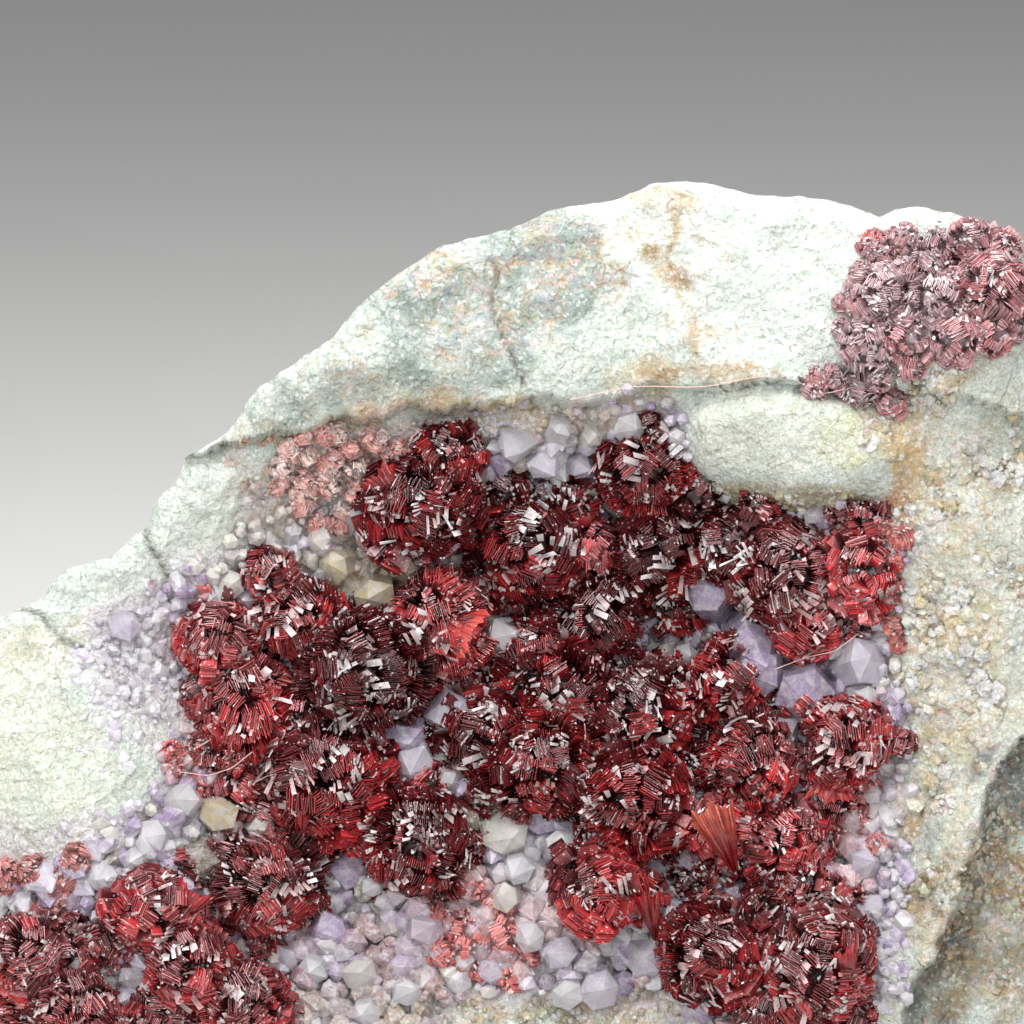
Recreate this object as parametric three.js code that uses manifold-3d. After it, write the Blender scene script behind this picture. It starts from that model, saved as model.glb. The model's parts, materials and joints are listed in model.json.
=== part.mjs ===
// Wendwilsonite on matrix: a hand-sized block of pale green vein rock with a shallow hollow in its face. The
// hollow is lined with a crust of lilac quartz crystals, and deep red rosettes of wendwilsonite sit on the
// quartz. The block stands on a flat cut base, and its front face leans back. Millimetres, +Z up, the front
// faces -Y.
//
// Everything is first laid out in the face frame: x to the right and z up along the front face, and y into
// the rock.
import * as THREE from "three";
import { ParametricGeometry } from "three/addons/geometries/ParametricGeometry.js";
import { mergeVertices } from "three/addons/utils/BufferGeometryUtils.js";
import Module from "manifold-3d";

const wasm = await Module();
wasm.setup();

// Driving dimensions, in millimetres and degrees
const FACE_LEAN = 12; // how far the front face leans back from upright
const BASE_LEVEL = -37.5; // height of the flat base below the middle of the face
const ORIGIN_SHIFT = { x: 0.9, y: -6.984 }; // puts the middle of the base at the origin
const ROCK_CENTRE = { x: 0, z: -12 }; // the middle that the rock's outline is drawn round
const TOP_THICKNESS = 13; // front to back at the top edge
const THICKNESS_GAIN = 0.36; // how much thicker the rock gets for each millimetre further down
const BACK_SHRINK = 0.09; // how much smaller the back's outline is than the front's
const CRUST_CENTRE = { x: -1, z: -12 };
const CRUST_THICKNESS = 1.6;
const GAP = 0.3; // between pieces that touch

// How finely each surface is divided
const ROCK_GRID = { round: 46, front: 11, side: 2, back: 4 };
const CRUST_GRID = { round: 32, across: 5 };
const ROSETTE_RIDGES = 4;

// Outline of the rock seen square to its face, clockwise from the left: [x, z]
const ROCK_OUTLINE = [
  [-33.6, -15], [-30.6, -8.8], [-27.6, -6.1], [-25.6, -5.15], [-23.9, -4.45], [-22.35, -2.8], [-20.3, -2.25],
  [-18.4, -0.65], [-18, 0.45], [-16.65, 1.8], [-16.45, 2.75], [-14.15, 4.2], [-12.55, 6.25], [-8.95, 8.95],
  [-6.5, 11.5], [-3.55, 13.55], [0, 14.35], [1.95, 15.35], [4.9, 15.75], [7.35, 16.7], [9.8, 16.65],
  [12.4, 16], [16.3, 15.75], [18.6, 14.9], [19.25, 15.3], [20.55, 15.4], [23.5, 14.75], [25.15, 13.05],
  [25.8, 12.1], [27.4, 8.6], [30, 2], [31.6, -6], [32.3, -14], [31.2, -22], [28.8, -30], [25.4, -37],
  [21, -46], [4, -48], [-20, -48], [-29, -38], [-32.4, -31], [-34, -23],
];

// Outline of the quartz crust that lines the hollow, clockwise from the top: [x, z]
const CRUST_OUTLINE = [
  [5.2, 6], [8.6, 5.6], [9.6, 1], [13, 0.2], [18, 0.6], [19.8, -1.6], [19.2, -6.5], [20.2, -11], [19.6, -17],
  [19.2, -24], [16.5, -28.2], [11, -28.6], [7, -25.4], [-2.5, -25.6], [-6, -29], [-13, -32], [-22, -31.5],
  [-28, -27], [-29, -22], [-25.8, -18.9], [-21.5, -16.9], [-18.2, -14.2], [-17.2, -11.2], [-20.5, -8.5],
  [-21.5, -5.5], [-18.5, -3.6], [-14.5, -1.2], [-12.5, 2.4], [-8.5, 4.6], [-3, 5], [1.5, 5.2],
];

// Rounded rises and hollows of the front face. soft is the share of the radius over which the edge falls
// away.
const LANDFORMS = [
  { what: "the hollow", x: 0.9, z: -11, rx: 19.5, rz: 15.5, soft: 0.3, rise: -3 },
  { what: "its deepest part", x: 5.4, z: -5, rx: 10, rz: 6.5, soft: 0.7, rise: -2.6 },
  { what: "raised floor below", x: 3, z: -21, rx: 10, rz: 4.5, soft: 0.6, rise: 1.4 },
  { what: "raised floor on the left", x: -17, z: -15, rx: 6, rz: 4.5, soft: 0.8, rise: 1 },
  { what: "tongue over the hollow", x: 14, z: 3.2, rx: 5.6, rz: 2.9, soft: 0.35, rise: 2 },
  { what: "shoulder at the top right", x: 21.5, z: 10.5, rx: 4.2, rz: 4.6, soft: 0.7, rise: 1.5 },
  { what: "rim on the right", x: 22.4, z: -6, rx: 4, rz: 13, soft: 0.7, rise: 0.9 },
  { what: "rim on the left", x: -23.4, z: -12, rx: 5.4, rz: 6, soft: 0.6, rise: 1.4 },
  { what: "rim below", x: 2, z: -33, rx: 22, rz: 5.5, soft: 0.5, rise: 1 },
];
// Ledges are steps in the face: the stone above the line stands proud of the stone below it.
const UPPER_LEDGE = {
  line: [[-16, 2.6], [-9, 4.6], [0, 5.5], [5, 5.6], [9, 6.4], [20, 6.2], [26, 4.5]],
  rise: 1.3,
};
// The stone to the right of this broken edge lies lower: [x, z] from the top down.
const BROKEN_EDGE = {
  line: [[34, -8], [27.5, -10.2], [25.6, -11.4], [23.6, -13.9], [23.1, -17.4], [21.4, -21.9], [19.6, -25.2],
    [18.4, -31], [17.5, -48]],
  drop: 3.2,
};
const STEP_WIDTH = 0.9;

// Rosettes of wendwilsonite: x and z on the face, radius r, and lift, the height of the ball's middle over
// the quartz as a share of its radius. Those that overlap have grown together.
const ROSETTES = [
  { x: -14.85, z: -6.3, r: 2.3, lift: 0.3 }, { x: -13.5, z: -9.65, r: 2.6, lift: 0.35 },
  { x: -10.6, z: -5.5, r: 2.2, lift: 0.3 }, { x: -12.2, z: -3.15, r: 1.5, lift: 0.2 },
  { x: -7.5, z: -8, r: 3.1, lift: 0.45 }, { x: -3.75, z: -5.65, r: 2.7, lift: 0.5 },
  { x: -9.1, z: -13.3, r: 3.1, lift: 0.3 }, { x: -4.6, z: -16.6, r: 2.8, lift: 0.3 },
  { x: -12.2, z: -18.8, r: 2.6, lift: 0.45 }, { x: -18.1, z: -19.7, r: 2.2, lift: 0.3 },
  { x: -16.2, z: -22.7, r: 2.3, lift: 0.35 }, { x: -24, z: -22.3, r: 2.3, lift: 0.3 },
  { x: -13.3, z: -24.7, r: 2.3, lift: 0.3 }, { x: -21.8, z: -25.4, r: 2.5, lift: 0.3 },
  { x: -18.6, z: -26.4, r: 2.1, lift: 0.3 }, { x: -4.6, z: 0.35, r: 3, lift: 0.3 },
  { x: -3.35, z: 2.9, r: 1.8, lift: 0.3 }, { x: 0.9, z: -1.65, r: 2.6, lift: 0.35 },
  { x: 3.65, z: -1.9, r: 1.7, lift: 0.5 }, { x: 6.8, z: 2.2, r: 2.3, lift: 0.2 },
  { x: 7.3, z: -2, r: 2.6, lift: 0.3 }, { x: 10.9, z: -1.65, r: 2.2, lift: 0.3 },
  { x: 14.15, z: -3.15, r: 3.2, lift: 0.3 }, { x: 14.4, z: -5.9, r: 2, lift: 0.6 },
  { x: 17.5, z: -3, r: 2.1, lift: 0.2 }, { x: 4.4, z: -5.65, r: 2.3, lift: 0.3 },
  { x: 1.15, z: -7.15, r: 2.5, lift: 0.35 }, { x: 2.65, z: -9.4, r: 2.6, lift: 0.45 },
  { x: 6.4, z: -10.15, r: 2.9, lift: 0.45 }, { x: -1.6, z: -11.2, r: 2.2, lift: 0.3 },
  { x: 1.4, z: -12.9, r: 2.9, lift: 0.4 }, { x: 6.2, z: -14.4, r: 2.9, lift: 0.4 },
  { x: 11, z: -8.6, r: 2.2, lift: 0.5 }, { x: 12.15, z: -12.65, r: 2.3, lift: 0.4 },
  { x: 16.8, z: -11.5, r: 2.7, lift: 0.4 }, { x: 10.6, z: -16, r: 2, lift: 0.4 },
  { x: 13.65, z: -16.4, r: 2.1, lift: 0.3 }, { x: 4.2, z: -19, r: 2.4, lift: 0.4 },
  { x: 10, z: -22.3, r: 2.5, lift: 0.35 }, { x: 15.5, z: -22.7, r: 2.8, lift: 0.35 },
];
const PINK_CRUST = [{ x: -1.6, z: -20.4, r: 2, lift: 0 }, { x: 0, z: -22.4, r: 1.7, lift: 0 }];
const DARK_CRUST = [
  { x: 22.3, z: 11.8, r: 2.9, lift: 0.1 }, { x: 19.4, z: 11, r: 2.1, lift: 0 },
  { x: 18.4, z: 9, r: 2, lift: 0 }, { x: 21.6, z: 9.1, r: 2.1, lift: 0 },
];
const LEAST_BODY = 2; // cubic millimetres: a smaller fragment that the trimming leaves is dropped

// Larger quartz crystals: x and z of the root on the face, radius r, rise of the shoulder above the crust,
// and the way the tip leans, as degrees from the face's own outward direction towards the clock angle turn.
const QUARTZ = [
  { x: -1.4, z: -7.2, r: 1.2, rise: 2.2, lean: 45, turn: 35 },
  { x: -3.2, z: -9.4, r: 1.35, rise: 2, lean: 35, turn: -80 },
  { x: -5.5, z: -10.9, r: 1.4, rise: 1.6, lean: 30, turn: -100 },
  { x: -4.8, z: -12.5, r: 1.2, rise: 1.2, lean: 20, turn: -90 },
  { x: -16.3, z: -14.7, r: 1, rise: 0.9, lean: 25, turn: 150 },
  { x: -14.8, z: -15.4, r: 1.1, rise: 1.2, lean: 15, turn: 80 },
  { x: -13, z: -15.6, r: 1, rise: 1.3, lean: 25, turn: -40 },
  { x: -15.8, z: -17.4, r: 1.2, rise: 0.8, lean: 25, turn: -90 },
  { x: -8.1, z: -18.1, r: 1.2, rise: 1, lean: 20, turn: 60 },
  { x: -7.3, z: -20, r: 0.9, rise: 1.1, lean: 25, turn: 0 },
  { x: -9.8, z: -22.8, r: 0.9, rise: 0.9, lean: 25, turn: 240 },
  { x: -7.8, z: -23, r: 1.1, rise: 1.1, lean: 15, turn: -60 },
  { x: -4.6, z: -21, r: 1.1, rise: 0.9, lean: 25, turn: 30 },
  { x: -0.2, z: -16.4, r: 1.3, rise: 1.1, lean: 20, turn: 120 },
  { x: 0.3, z: -17.8, r: 0.9, rise: 1.6, lean: 15, turn: -90 },
  { x: 2.6, z: -22.3, r: 1.1, rise: 0.8, lean: 25, turn: -90 },
  { x: 5.6, z: -22, r: 1.2, rise: 1.1, lean: 40, turn: -45 },
  { x: 4.4, z: -23.8, r: 1.1, rise: 0.9, lean: 15, turn: -90 },
  { x: 8.8, z: -18.4, r: 0.9, rise: 0.9, lean: 25, turn: 90 },
  { x: 10.8, z: -25.4, r: 1.3, rise: 0.7, lean: 20, turn: -100 },
  { x: 10.5, z: -5.4, r: 1.2, rise: 0.8, lean: 25, turn: 130 },
  { x: 12.8, z: -8, r: 1.1, rise: 0.9, lean: 25, turn: -60 },
  { x: 17.2, z: -8.2, r: 1, rise: 0.9, lean: 25, turn: 0 },
  { x: 0.9, z: 3.4, r: 1.2, rise: 0.6, lean: 35, turn: -90 },
  { x: 3, z: 2.2, r: 1.1, rise: 0.7, lean: 25, turn: -60 },
  { x: 5.9, z: 4.4, r: 0.9, rise: 0.9, lean: 20, turn: -90 },
  { x: -7.9, z: -3.7, r: 1, rise: 0.9, lean: 20, turn: 220 },
  { x: -19.4, z: -5.8, r: 0.9, rise: 0.5, lean: 20, turn: 90 },
  { x: 17.6, z: -17.6, r: 1, rise: 0.6, lean: 20, turn: -30 },
];
const QUARTZ_TIP = 0.95; // height of a crystal's point over its shoulder, as a share of its radius
const QUARTZ_ROOT = 1.3; // how deep a crystal's root reaches into the crust

const COLOURS = { rock: 0xd5dccb, quartz: 0xc9bccb, red: 0x5c0d14, pink: 0xc4767a, darkCrust: 0x5a2a33 };

const DEGREES = Math.PI / 180;
const clamp01 = (t) => Math.min(1, Math.max(0, t));
const smoothstep = (t) => clamp01(t) ** 2 * (3 - 2 * clamp01(t));
const lerp = THREE.MathUtils.lerp;

// A number from 0 to 1 that belongs to a point of the integer lattice.
function latticeHash(i, j, k, salt) {
  let h = Math.imul(i, 0x8da6b343) ^ Math.imul(j, 0xd8163841);
  h = h ^ Math.imul(k, 0xcb1ab31f) ^ Math.imul(salt, 0x9e3779b1);
  h = Math.imul(h ^ (h >>> 15), 0x85ebca6b);
  h = Math.imul(h ^ (h >>> 13), 0xc2b2ae35);
  return ((h ^ (h >>> 16)) >>> 0) / 4294967296;
}

// Broken stone: each cell of a jittered lattice holds a tilted shallow bowl, and the highest bowl is cut out
// of the stone, so that smooth facets meet at sharp ridges. Returns about -1 to 0, in units of the amplitude.
function chips(x, y, z, cell, salt) {
  const p = [x / cell, y / cell, z / cell];
  const home = p.map(Math.floor);
  let best = -Infinity;
  for (let n = 0; n < 27; n++) {
    const step = [n % 3, Math.floor(n / 3) % 3, Math.floor(n / 9)];
    const at = home.map((value, axis) => value + step[axis] - 1);
    const away = at.map((c, axis) => p[axis] - c - latticeHash(...at, salt + axis));
    const tilt = away.reduce((sum, d, axis) => sum + d * (latticeHash(...at, salt + 3 + axis) - 0.5), 0);
    best = Math.max(best, tilt * 1.4 - away.reduce((sum, d) => sum + d * d, 0));
  }
  return -0.6 - best;
}

// The height of a line of [x, z] points at a given x.
function lineAt(line, x) {
  let i = 1;
  while (i < line.length - 1 && x > line[i][0]) i++;
  const [a, b] = [line[i - 1], line[i]];
  return lerp(a[1], b[1], clamp01((x - a[0]) / (b[0] - a[0])));
}

// Distance from a centre to an outline in the direction of an angle: where the ray crosses an edge.
function outlineRadius(outline, centre, angle) {
  const [dx, dz] = [Math.cos(angle), Math.sin(angle)];
  for (let i = 0; i < outline.length; i++) {
    const [ax, az] = [outline[i][0] - centre.x, outline[i][1] - centre.z];
    const next = outline[(i + 1) % outline.length];
    const [bx, bz] = [next[0] - centre.x, next[1] - centre.z];
    const before = dx * az - dz * ax;
    const after = dx * bz - dz * bx;
    if (before >= 0 && after < 0 && dx * (ax + bx) + dz * (az + bz) > 0)
      return (ax * bz - az * bx) / (dx * (bz - az) - dz * (bx - ax));
  }
  throw new Error("the outline doesn't go once round its centre");
}

// Height of the front face towards the viewer at a point of the face.
function relief(x, z) {
  let height = 0;
  for (const form of LANDFORMS) {
    const distance = Math.hypot((x - form.x) / form.rx, (z - form.z) / form.rz);
    height += form.rise * smoothstep((1 + form.soft - distance) / (2 * form.soft));
  }
  height += UPPER_LEDGE.rise * smoothstep((z - lineAt(UPPER_LEDGE.line, x)) / STEP_WIDTH + 0.5);
  const edge = BROKEN_EDGE.line.map(([ex, ez]) => [-ez, ex]);
  height -= BROKEN_EDGE.drop * smoothstep((x - lineAt(edge, -z)) / STEP_WIDTH + 0.5);
  height -= 0.3 * Math.max(0, z - 7) + 0.22 * Math.max(0, -20 - x) + 0.16 * Math.max(0, x - 24);
  return height + 1.1 * chips(x, 0, z, 7.5, 11) + 0.35 * chips(x, 3, z, 3.6, 23);
}

// Depth of the back face behind the middle of the front.
function backDepth(x, z, share) {
  const thickness = TOP_THICKNESS + THICKNESS_GAIN * (17 - z);
  return thickness - 3 * share ** 5 + 2.6 * chips(x, 20, z, 12, 37) + 0.9 * chips(x, 40, z, 5.5, 41);
}

// A closed mesh as a solid of the boolean library.
function solidOf(geometry) {
  const bare = geometry.clone();
  bare.deleteAttribute("normal");
  bare.deleteAttribute("uv");
  const merged = mergeVertices(bare, 1e-4);
  const corners = merged.index.array;
  const kept = [];
  for (let i = 0; i < corners.length; i += 3) {
    const [a, b, c] = corners.slice(i, i + 3);
    if (a !== b && b !== c && a !== c) kept.push(a, b, c);
  }
  const vertProperties = new Float32Array(merged.attributes.position.array);
  const mesh = new wasm.Mesh({ numProp: 3, vertProperties, triVerts: new Uint32Array(kept) });
  const solid = new wasm.Manifold(mesh);
  return solid.volume() < 0 ? flipped(vertProperties, kept) : solid;
}

function flipped(vertProperties, corners) {
  const triVerts = new Uint32Array(corners);
  for (let i = 0; i < triVerts.length; i += 3) {
    [triVerts[i + 1], triVerts[i + 2]] = [triVerts[i + 2], triVerts[i + 1]];
  }
  return new wasm.Manifold(new wasm.Mesh({ numProp: 3, vertProperties, triVerts }));
}

const joined = (solids) => solids.reduce((all, one) => all.add(one));

// The separate bodies that are left of a solid once another is cut away, the largest first.
function trimmedBodies(solid, away) {
  const bodies = solid.subtract(away).decompose().filter((body) => body.volume() > LEAST_BODY);
  return bodies.sort((a, b) => b.volume() - a.volume());
}

// The whole block before its base is cut and its hollow is lined: rings from the middle of the front, over
// the edge and round to the middle of the back.
function rockBlock() {
  const { round, front, side, back } = ROCK_GRID;
  const rings = front + side + back;
  const surface = (u, v, target) => {
    const angle = -2 * Math.PI * u;
    const ring = Math.round(v * rings);
    const edge = outlineRadius(ROCK_OUTLINE, ROCK_CENTRE, angle);
    const along = clamp01((ring - front) / side);
    const share = ring <= front ? ring / front : 1 - clamp01((ring - front - side) / back);
    const point = (radius) => [
      ROCK_CENTRE.x + radius * Math.cos(angle),
      ROCK_CENTRE.z + radius * Math.sin(angle),
    ];
    if (ring <= front) {
      const [x, z] = point(edge * share);
      target.set(x, -relief(x, z), z);
      return;
    }
    const [frontX, frontZ] = point(edge);
    const [backX, backZ] = point(edge * (1 - BACK_SHRINK) * share);
    const y = lerp(-relief(frontX, frontZ), backDepth(backX, backZ, share), along);
    const chipped = along < 1 ? 1.6 * chips(frontX, y, frontZ, 9, 53) * Math.sin(Math.PI * along) : 0;
    const [x, z] = point(lerp(edge, edge * (1 - BACK_SHRINK) * share, along) + chipped);
    target.set(x, y, z);
  };
  return solidOf(new ParametricGeometry(surface, round, rings));
}

// A sheet that follows the front face inside the crust's outline. outset widens it, and top and bottom are
// the heights of its two surfaces over the face.
function faceSheet(outset, top, bottom) {
  const { round, across } = CRUST_GRID;
  const rings = 2 * (across + 1) + 1;
  const surface = (u, v, target) => {
    const angle = -2 * Math.PI * u;
    const edge = outlineRadius(CRUST_OUTLINE, CRUST_CENTRE, angle);
    const ring = Math.round(v * rings);
    const step = Math.min(ring, rings - ring);
    const radius = step > across ? edge + outset : (edge * step) / across;
    const x = CRUST_CENTRE.x + radius * Math.cos(angle);
    const z = CRUST_CENTRE.z + radius * Math.sin(angle);
    target.set(x, -relief(x, z) - (2 * ring < rings ? top : bottom), z);
  };
  return solidOf(new ParametricGeometry(surface, round, rings));
}

// The direction in the face frame of something that leans away from the face's outward direction.
function outward(lean, turn) {
  const [tilt, around] = [lean * DEGREES, turn * DEGREES];
  const flat = Math.sin(tilt);
  return new THREE.Vector3(flat * Math.cos(around), -Math.cos(tilt), flat * Math.sin(around));
}

// A six-sided quartz prism with a pointed end. grown makes it larger all round, for cutting its neighbours.
function quartzCrystal({ x, z, r, rise, lean, turn }, grown = 0) {
  const radius = r + grown;
  const profile = [
    [0, -QUARTZ_ROOT - grown], [radius, -QUARTZ_ROOT - grown],
    [radius, rise], [0, rise + QUARTZ_TIP * radius + grown],
  ];
  const geometry = new THREE.LatheGeometry(profile.map(([a, b]) => new THREE.Vector2(a, b)), 6);
  const turned = new THREE.Quaternion().setFromUnitVectors(new THREE.Vector3(0, 1, 0), outward(lean, turn));
  geometry.applyQuaternion(turned).translate(x, -relief(x, z), z);
  return solidOf(geometry);
}

// A rosette: a ball of blades, as a lathe form whose every second rib stands proud. seed turns it.
function rosette({ x, z, r, lift }, seed, grown) {
  const ribs = 2 * ROSETTE_RIDGES;
  const radius = r + grown;
  const latitudes = [-90, -15, 42, 90];
  const profile = latitudes.map((degrees) => {
    const angle = degrees * DEGREES;
    return new THREE.Vector2(radius * Math.cos(angle), radius * Math.sin(angle));
  });
  profile[0].x = 0;
  profile[profile.length - 1].x = 0;
  const geometry = new THREE.LatheGeometry(profile, ribs);
  const place = geometry.attributes.position;
  for (let i = 0; i < place.count; i++) {
    const rib = Math.round((Math.atan2(place.getX(i), place.getZ(i)) / (2 * Math.PI)) * ribs + ribs) % ribs;
    const squeeze = rib % 2 ? 1 - 0.2 * latticeHash(seed, rib, 1, 3) - 0.08 : 1;
    place.setXYZ(i, place.getX(i) * squeeze, place.getY(i), place.getZ(i) * squeeze);
  }
  const axis = outward(20 + 50 * latticeHash(seed, 5, 0, 7), 360 * latticeHash(seed, 9, 0, 7));
  geometry.applyQuaternion(new THREE.Quaternion().setFromUnitVectors(new THREE.Vector3(0, 1, 0), axis));
  geometry.translate(x, -relief(x, z) - lift * r, z);
  return solidOf(geometry);
}

const rosettesAt = (places, grown = 0) => joined(places.map((place, i) => rosette(place, i, grown)));

// Turns a solid from the face frame into the frame of the standing block.
function standing(solid) {
  return solid.rotate([-FACE_LEAN, 0, 0]).translate([ORIGIN_SHIFT.x, ORIGIN_SHIFT.y, -BASE_LEVEL]);
}

// What is left of a standing solid above its flat base.
const cutAtBase = (solid) => solid.trimByPlane([0, 0, 1], 0);

function meshOf(name, solid, colour, roughness) {
  const { vertProperties, triVerts } = solid.getMesh();
  const geometry = new THREE.BufferGeometry();
  geometry.setAttribute("position", new THREE.BufferAttribute(new Float32Array(vertProperties), 3));
  geometry.setIndex(new THREE.BufferAttribute(new Uint32Array(triVerts), 1));
  geometry.computeVertexNormals();
  const material = new THREE.MeshStandardMaterial({
    color: colour, roughness, metalness: 0, flatShading: true,
  });
  const mesh = new THREE.Mesh(geometry, material);
  mesh.name = name;
  return mesh;
}

function specimen() {
  const group = new THREE.Group();
  const block = rockBlock();
  const crystals = QUARTZ.map((crystal) => quartzCrystal(crystal));
  const crust = joined([faceSheet(0, 0, -CRUST_THICKNESS), ...crystals]);
  const crustRoom = joined([
    faceSheet(GAP, 4, -CRUST_THICKNESS - GAP),
    ...QUARTZ.map((crystal) => quartzCrystal(crystal, GAP)),
  ]);
  const rock = cutAtBase(standing(trimmedBodies(block, crustRoom)[0]));
  group.add(meshOf("matrix_rock", rock, COLOURS.rock, 0.8));
  group.add(meshOf("quartz_crust", standing(crust), COLOURS.quartz, 0.15));

  // The rosettes grow on the quartz and the rock.
  const bed = joined([
    block.translate([0, -GAP, 0]),
    faceSheet(0, GAP, -CRUST_THICKNESS),
    ...QUARTZ.map((crystal) => quartzCrystal(crystal, GAP)),
  ]);
  const clusters = trimmedBodies(rosettesAt(ROSETTES), bed);
  clusters.forEach((body, i) => group.add(meshOf(`rosettes_${i + 1}`, standing(body), COLOURS.red, 0.2)));
  const pink = trimmedBodies(rosettesAt(PINK_CRUST), bed.add(rosettesAt(ROSETTES, GAP)))[0];
  group.add(meshOf("pink_crust", standing(pink), COLOURS.pink, 0.4));
  const dark = trimmedBodies(rosettesAt(DARK_CRUST), bed)[0];
  group.add(meshOf("dark_crust", standing(dark), COLOURS.darkCrust, 0.4));
  return group;
}

export default specimen();
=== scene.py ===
"""Wendwilsonite on matrix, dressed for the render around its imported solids.

Lengths are millimetres in the face frame: x to the right and z up along the leaning front face, and y into
the rock. standing() turns such points into metres in the row's frame, where the block stands on its base.
"""

from __future__ import annotations

import json
import logging
import math
from dataclasses import dataclass
from enum import Enum
from itertools import product
from typing import Sequence

import bmesh
import bpy
import numpy as np
from mathutils import Matrix as Placement
from mathutils import Vector
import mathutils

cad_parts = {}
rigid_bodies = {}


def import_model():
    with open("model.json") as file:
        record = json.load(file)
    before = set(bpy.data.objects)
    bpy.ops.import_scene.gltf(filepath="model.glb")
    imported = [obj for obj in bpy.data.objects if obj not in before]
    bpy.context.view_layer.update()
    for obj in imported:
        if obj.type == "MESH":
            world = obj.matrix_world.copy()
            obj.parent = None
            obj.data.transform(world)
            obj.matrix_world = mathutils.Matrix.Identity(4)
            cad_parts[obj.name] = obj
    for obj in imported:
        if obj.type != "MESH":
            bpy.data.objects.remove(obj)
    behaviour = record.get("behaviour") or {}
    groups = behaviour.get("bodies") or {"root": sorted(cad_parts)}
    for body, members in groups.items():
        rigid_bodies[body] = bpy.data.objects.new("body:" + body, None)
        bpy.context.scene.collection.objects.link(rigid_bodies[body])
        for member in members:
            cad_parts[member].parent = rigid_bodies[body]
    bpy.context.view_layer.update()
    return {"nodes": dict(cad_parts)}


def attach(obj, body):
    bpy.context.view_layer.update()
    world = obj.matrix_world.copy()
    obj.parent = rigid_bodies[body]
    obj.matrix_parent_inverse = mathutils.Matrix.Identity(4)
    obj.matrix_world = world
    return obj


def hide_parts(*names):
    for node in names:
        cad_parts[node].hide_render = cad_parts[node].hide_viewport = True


LOG = logging.getLogger("wendwilsonite")
Array = np.ndarray
Colour = tuple[float, float, float]
# A mesh in the face frame: its points, its groups of faces and its colours
Part = tuple[Array, list[Array], Array]

# The frame that the solids share, in millimetres and degrees
METRES = 0.001
FACE_LEAN = 12.0
BASE_LEVEL = -37.5
ORIGIN_SHIFT = (0.9, -6.984)
SEED = 20

# Odd numbers that mix the lattice's coordinates, a salt and the bits of their sum
LATTICE_MIXERS = (0x8DA6B343, 0xD8163841, 0xCB1AB31F)
SALT_MIXER = 0x9E3779B1
BIT_MIXERS = (0x85EBCA6B, 0xC2B2AE35)
# How far a chip's bowl tilts, and the level that brings its rim near 0
CHIP_TILT = 1.4
CHIP_LEVEL = 0.6

# The block, as in the solids
ROCK_CENTRE = (0.0, -12.0)
TOP_THICKNESS = 13.0
THICKNESS_GAIN = 0.36
BACK_SHRINK = 0.09
ROCK_OUTLINE = (
    (-33.6, -15), (-30.6, -8.8), (-27.6, -6.1), (-25.6, -5.15), (-23.9, -4.45),
    (-22.35, -2.8), (-20.3, -2.25), (-18.4, -0.65), (-18, 0.45), (-16.65, 1.8), (-16.45, 2.75),
    (-14.15, 4.2), (-12.55, 6.25), (-8.95, 8.95), (-6.5, 11.5), (-3.55, 13.55), (0, 14.35), (1.95, 15.35),
    (4.9, 15.75), (7.35, 16.7), (9.8, 16.65), (12.4, 16), (16.3, 15.75), (18.6, 14.9), (19.25, 15.3),
    (20.55, 15.4), (23.5, 14.75), (25.15, 13.05), (25.8, 12.1), (27.4, 8.6), (30, 2), (31.6, -6),
    (32.3, -14), (31.2, -22), (28.8, -30), (25.4, -37), (21, -46), (4, -48), (-20, -48), (-29, -38),
    (-32.4, -31), (-34, -23),
)
CRUST_OUTLINE = (
    (5.2, 6), (8.6, 5.6), (9.6, 1), (13, 0.2), (18, 0.6), (19.8, -1.6), (19.2, -6.5),
    (20.2, -11), (19.6, -17), (19.2, -24), (16.5, -28.2), (11, -28.6), (7, -25.4), (-2.5, -25.6), (-6, -29),
    (-13, -32), (-22, -31.5), (-28, -27), (-29, -22), (-25.8, -18.9), (-21.5, -16.9), (-18.2, -14.2),
    (-17.2, -11.2), (-20.5, -8.5), (-21.5, -5.5), (-18.5, -3.6), (-14.5, -1.2), (-12.5, 2.4), (-8.5, 4.6),
    (-3, 5), (1.5, 5.2),
)
CRUST_CENTRE = (-1, -12)


@dataclass(frozen=True)
class Landform:
    """A rounded rise or hollow of the front face."""

    what: str
    x: float
    z: float
    half_x: float
    half_z: float
    soft: float
    rise: float


LANDFORMS = (
    Landform("the hollow", 0.9, -11, 19.5, 15.5, 0.3, -3),
    Landform("its deepest part", 5.4, -5, 10, 6.5, 0.7, -2.6),
    Landform("raised floor below", 3, -21, 10, 4.5, 0.6, 1.4),
    Landform("raised floor on the left", -17, -15, 6, 4.5, 0.8, 1),
    Landform("tongue over the hollow", 14, 3.2, 5.6, 2.9, 0.35, 2),
    Landform("shoulder at the top right", 21.5, 10.5, 4.2, 4.6, 0.7, 1.5),
    Landform("rim on the right", 22.4, -6, 4, 13, 0.7, 0.9),
    Landform("rim on the left", -23.4, -12, 5.4, 6, 0.6, 1.4),
    Landform("rim below", 2, -33, 22, 5.5, 0.5, 1),
)
UPPER_LEDGE = ((-16, 2.6), (-9, 4.6), (0, 5.5), (5, 5.6), (9, 6.4), (20, 6.2), (26, 4.5))
UPPER_LEDGE_RISE = 1.3
BROKEN_EDGE = (
    (34, -8), (27.5, -10.2), (25.6, -11.4), (23.6, -13.9), (23.1, -17.4), (21.4, -21.9),
    (19.6, -25.2), (18.4, -31), (17.5, -48),
)
BROKEN_EDGE_DROP = 3.2
STEP_WIDTH = 0.9
# Where the face starts to fall towards the rim, and how steeply
TOP_FALL = (7, 0.3)
LEFT_FALL = (-20, 0.22)
RIGHT_FALL = (24, 0.16)
# The chips of the shared relief: depth, level, cell size and salt
RELIEF_CHIPS = ((1.1, 0, 7.5, 11), (0.35, 3, 3.6, 23))


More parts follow.
